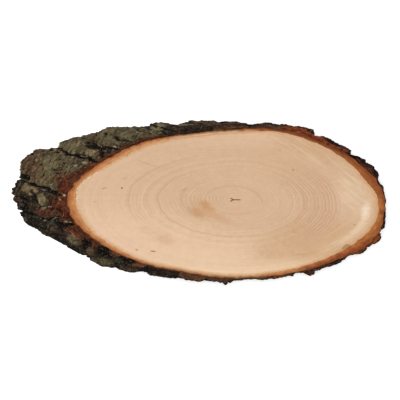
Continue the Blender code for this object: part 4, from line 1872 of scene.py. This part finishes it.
@dataclass(frozen=True)
class Scatter:
    """Small flakes or fibres strewn over the bark by geometry nodes."""

    name: str
    where: str
    density: float
    smallest: float
    largest: float
    shape: tuple[float, float, float]
    seed: int

    def tree(self) -> Tree:
        """The geometry nodes that strew, turn, size and dress the flakes.

        Returns:
            The tree.
        """
        kinds = {
            "Geometry": "Geometry", "Density": "Float", "Smallest": "Float", "Largest": "Float",
            "Shape": "Vector", "Seed": "Int", "Material": "Material",
        }
        graph, given = new_group(self.name, "Geometry", kinds, "Geometry", "Geometry")
        geometry, density, smallest, largest, shape, seed, material = given
        inputs = {"Mesh": geometry, "Density": graph.named(self.where) * density, "Seed": seed}
        kind = "GeometryNodeDistributePointsOnFaces"
        strewn = graph.add(kind, inputs, "Points", distribute_method="RANDOM")
        ball = graph.add("GeometryNodeMeshIcoSphere", {"Radius": 1.0, "Subdivisions": 1})
        position = graph.add("GeometryNodeInputPosition", {})
        bumps = graph.add("ShaderNodeTexNoise", {"Vector": position, "Scale": 1.3}, 1)
        bumps = graph.vector("SUBTRACT", bumps, (0.5, 0.5, 0.5))
        lump = graph.add("GeometryNodeSetPosition", {"Geometry": ball, "Offset": bumps})
        flat = graph.add("GeometryNodeTransform", {"Geometry": lump, "Scale": shape})
        inputs = {"Min": (0.0, 0.0, 0.0), "Max": (0.5, 0.5, 2 * math.pi), "Seed": seed}
        spin = graph.add("FunctionNodeRandomValue", inputs, data_type="FLOAT_VECTOR")
        inputs = {2: smallest, 3: largest, "Seed": seed}
        size = graph.add("FunctionNodeRandomValue", inputs, 1, data_type="FLOAT")
        inputs = {"Points": strewn, "Instance": flat, "Rotation": strewn.sibling("Rotation"), "Scale": size}
        placed = graph.add("GeometryNodeInstanceOnPoints", inputs)
        inputs = {"Instances": placed, "Rotation": spin, "Local Space": True}
        return graph.give_mesh(graph.add("GeometryNodeRotateInstances", inputs), material)

    def build(self, host: Piece, material: bpy.types.Material) -> Piece:
        """Strews the flakes over a piece.

        Args:
            host: The piece that they lie on.
            material: Their material.

        Returns:
            The flakes, as one piece.
        """
        piece = link(self.name, host.data)
        settings = {
            "Density": self.density,
            "Smallest": self.smallest * MM,
            "Largest": self.largest * MM,
            "Shape": self.shape,
            "Seed": self.seed,
            "Material": material,
        }
        apply_tree(piece, self.tree(), settings)
        piece.data.shade_flat()
        return piece


@dataclass(frozen=True)
class Studio:
    """The pale floor, the soft light and the camera straight above."""

    view_width: float = 0.32
    aim: tuple[float, float] = (0.00005, 0.0012)
    height: float = 1.2
    floor_size: float = 6.0
    floor_tone: float = 0.86
    sky: float = 0.22
    overhead: float = 0.58
    overhead_spread: float = 36.0
    side: float = 0.22
    side_spread: float = 24.0
    side_from: tuple[float, float, float] = (-0.5, 0.45, 1.0)
    floor_glow: float = 0.5
    floor_roughness: float = 0.9
    floor_shine: float = 0.1

    def floor(self) -> None:
        """Lays a plain pale floor under the slice."""
        reach = self.floor_size / 2
        mesh = bpy.data.meshes.new("floor")
        corners = [(x * reach, y * reach, 0.0) for x, y in ((-1, -1), (1, -1), (1, 1), (-1, 1))]
        mesh.from_pydata(corners, [], [(0, 1, 2, 3)])
        material = bpy.data.materials.new("pale_floor")
        material.use_nodes = True
        shader = material.node_tree.nodes["Principled BSDF"]
        for name, value in (
            ("Base Color", (self.floor_tone, self.floor_tone, self.floor_tone, 1.0)),
            ("Roughness", self.floor_roughness),
            ("Specular IOR Level", self.floor_shine),
            ("Emission Color", (1.0, 1.0, 1.0, 1.0)),
            ("Emission Strength", self.floor_glow),
        ):
            shader.inputs[name].default_value = value
        mesh.materials.append(material)
        floor = link("floor", mesh)

    def light(self) -> None:
        """Adds an even sky, a soft light straight above and a weaker one from the upper left."""
        world = bpy.data.worlds.new("studio")
        world.use_nodes = True
        graph, white = Graph(world.node_tree), (1.0, 1.0, 1.0)
        lit = graph.add("ShaderNodeBackground", {"Color": white, "Strength": self.sky})
        seen = graph.add("ShaderNodeBackground", {"Color": white, "Strength": 1.0})
        to_camera = graph.add("ShaderNodeLightPath", {}, "Is Camera Ray")
        sky = graph.add("ShaderNodeMixShader", {0: to_camera, 1: lit, 2: seen})
        graph.feed(world.node_tree.nodes["World Output"].inputs["Surface"], sky)
        bpy.context.scene.world = world
        self.lamp("overhead", self.overhead, self.overhead_spread, (0.0, 0.0, 1.0))
        self.lamp("side", self.side, self.side_spread, self.side_from)

    def lamp(self, name: str, strength: float, spread: float, place: tuple[float, float, float]) -> None:
        """Adds a soft distant light.

        Args:
            name: Its name.
            strength: How bright it makes a white surface that faces it.
            spread: How wide it is, in degrees.
            place: The direction that it shines from.
        """
        lamp = bpy.data.lights.new(name, "SUN")
        lamp.energy = strength * math.pi
        lamp.angle = math.radians(spread)
        link(name, lamp).rotation_euler = (-Vector(place)).to_track_quat("-Z", "Y").to_euler()

    def camera(self) -> None:
        """Hangs the camera straight above the slice."""
        lens = bpy.data.cameras.new("camera")
        lens.type = "ORTHO"
        lens.ortho_scale = self.view_width
        camera = link("camera", lens)
        camera.location = (*self.aim, self.height)
        bpy.context.scene.camera = camera
        bpy.context.scene.view_settings.view_transform = "Standard"


def settle(piece: Piece) -> None:
    """Ties a piece to the slice's body and logs its face count.

    Args:
        piece: The piece.
    """
    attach(piece, BODY)
    LOG.info("%s: %d faces", piece.name, len(piece.data.polygons))


def main() -> None:
    """Builds the pieces in order and dresses them."""
    logging.basicConfig(level=logging.INFO, format="%(name)s %(message)s")
    low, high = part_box("wood")
    log = LeaningLog(thickness=(high.z - low.z) / MM)
    effects = SharedEffects()

    wood = WoodSlab(log).build(SawnWood("pale_wood", 0.62, 0.35, 0.25), effects)
    settle(wood)
    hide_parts("wood")

    inner = InnerBark(log).build(FibrousBark("inner_bark", 0.8, 0.6, 0.15), effects)
    settle(inner)
    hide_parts("bark")

    outer = OuterBark(log).build(WeatheredBark("outer_bark", 0.92, 0.8, 0.08), effects)
    settle(outer)
    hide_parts("bark")

    lichen = Flecked("lichen", 0.9, 0.6, 0.1).make(effects)
    flakes = Scatter("lichen_flakes", "wall_only", 30000.0, 0.25, 0.7, (1.0, 0.7, 0.28), 4)
    settle(flakes.build(outer, lichen))
    straw = Flecked("torn_fibre", 0.85, 0.5, 0.1, light=(150, 118, 88), dull=(96, 58, 40)).make(effects)
    fibres = Scatter("torn_fibres", "rim_only", 60000.0, 0.3, 0.9, (1.9, 0.3, 0.22), 9)
    settle(fibres.build(outer, straw))

    studio = Studio()
    studio.floor()
    studio.light()
    studio.camera()


if __name__ == "__main__":
    main()
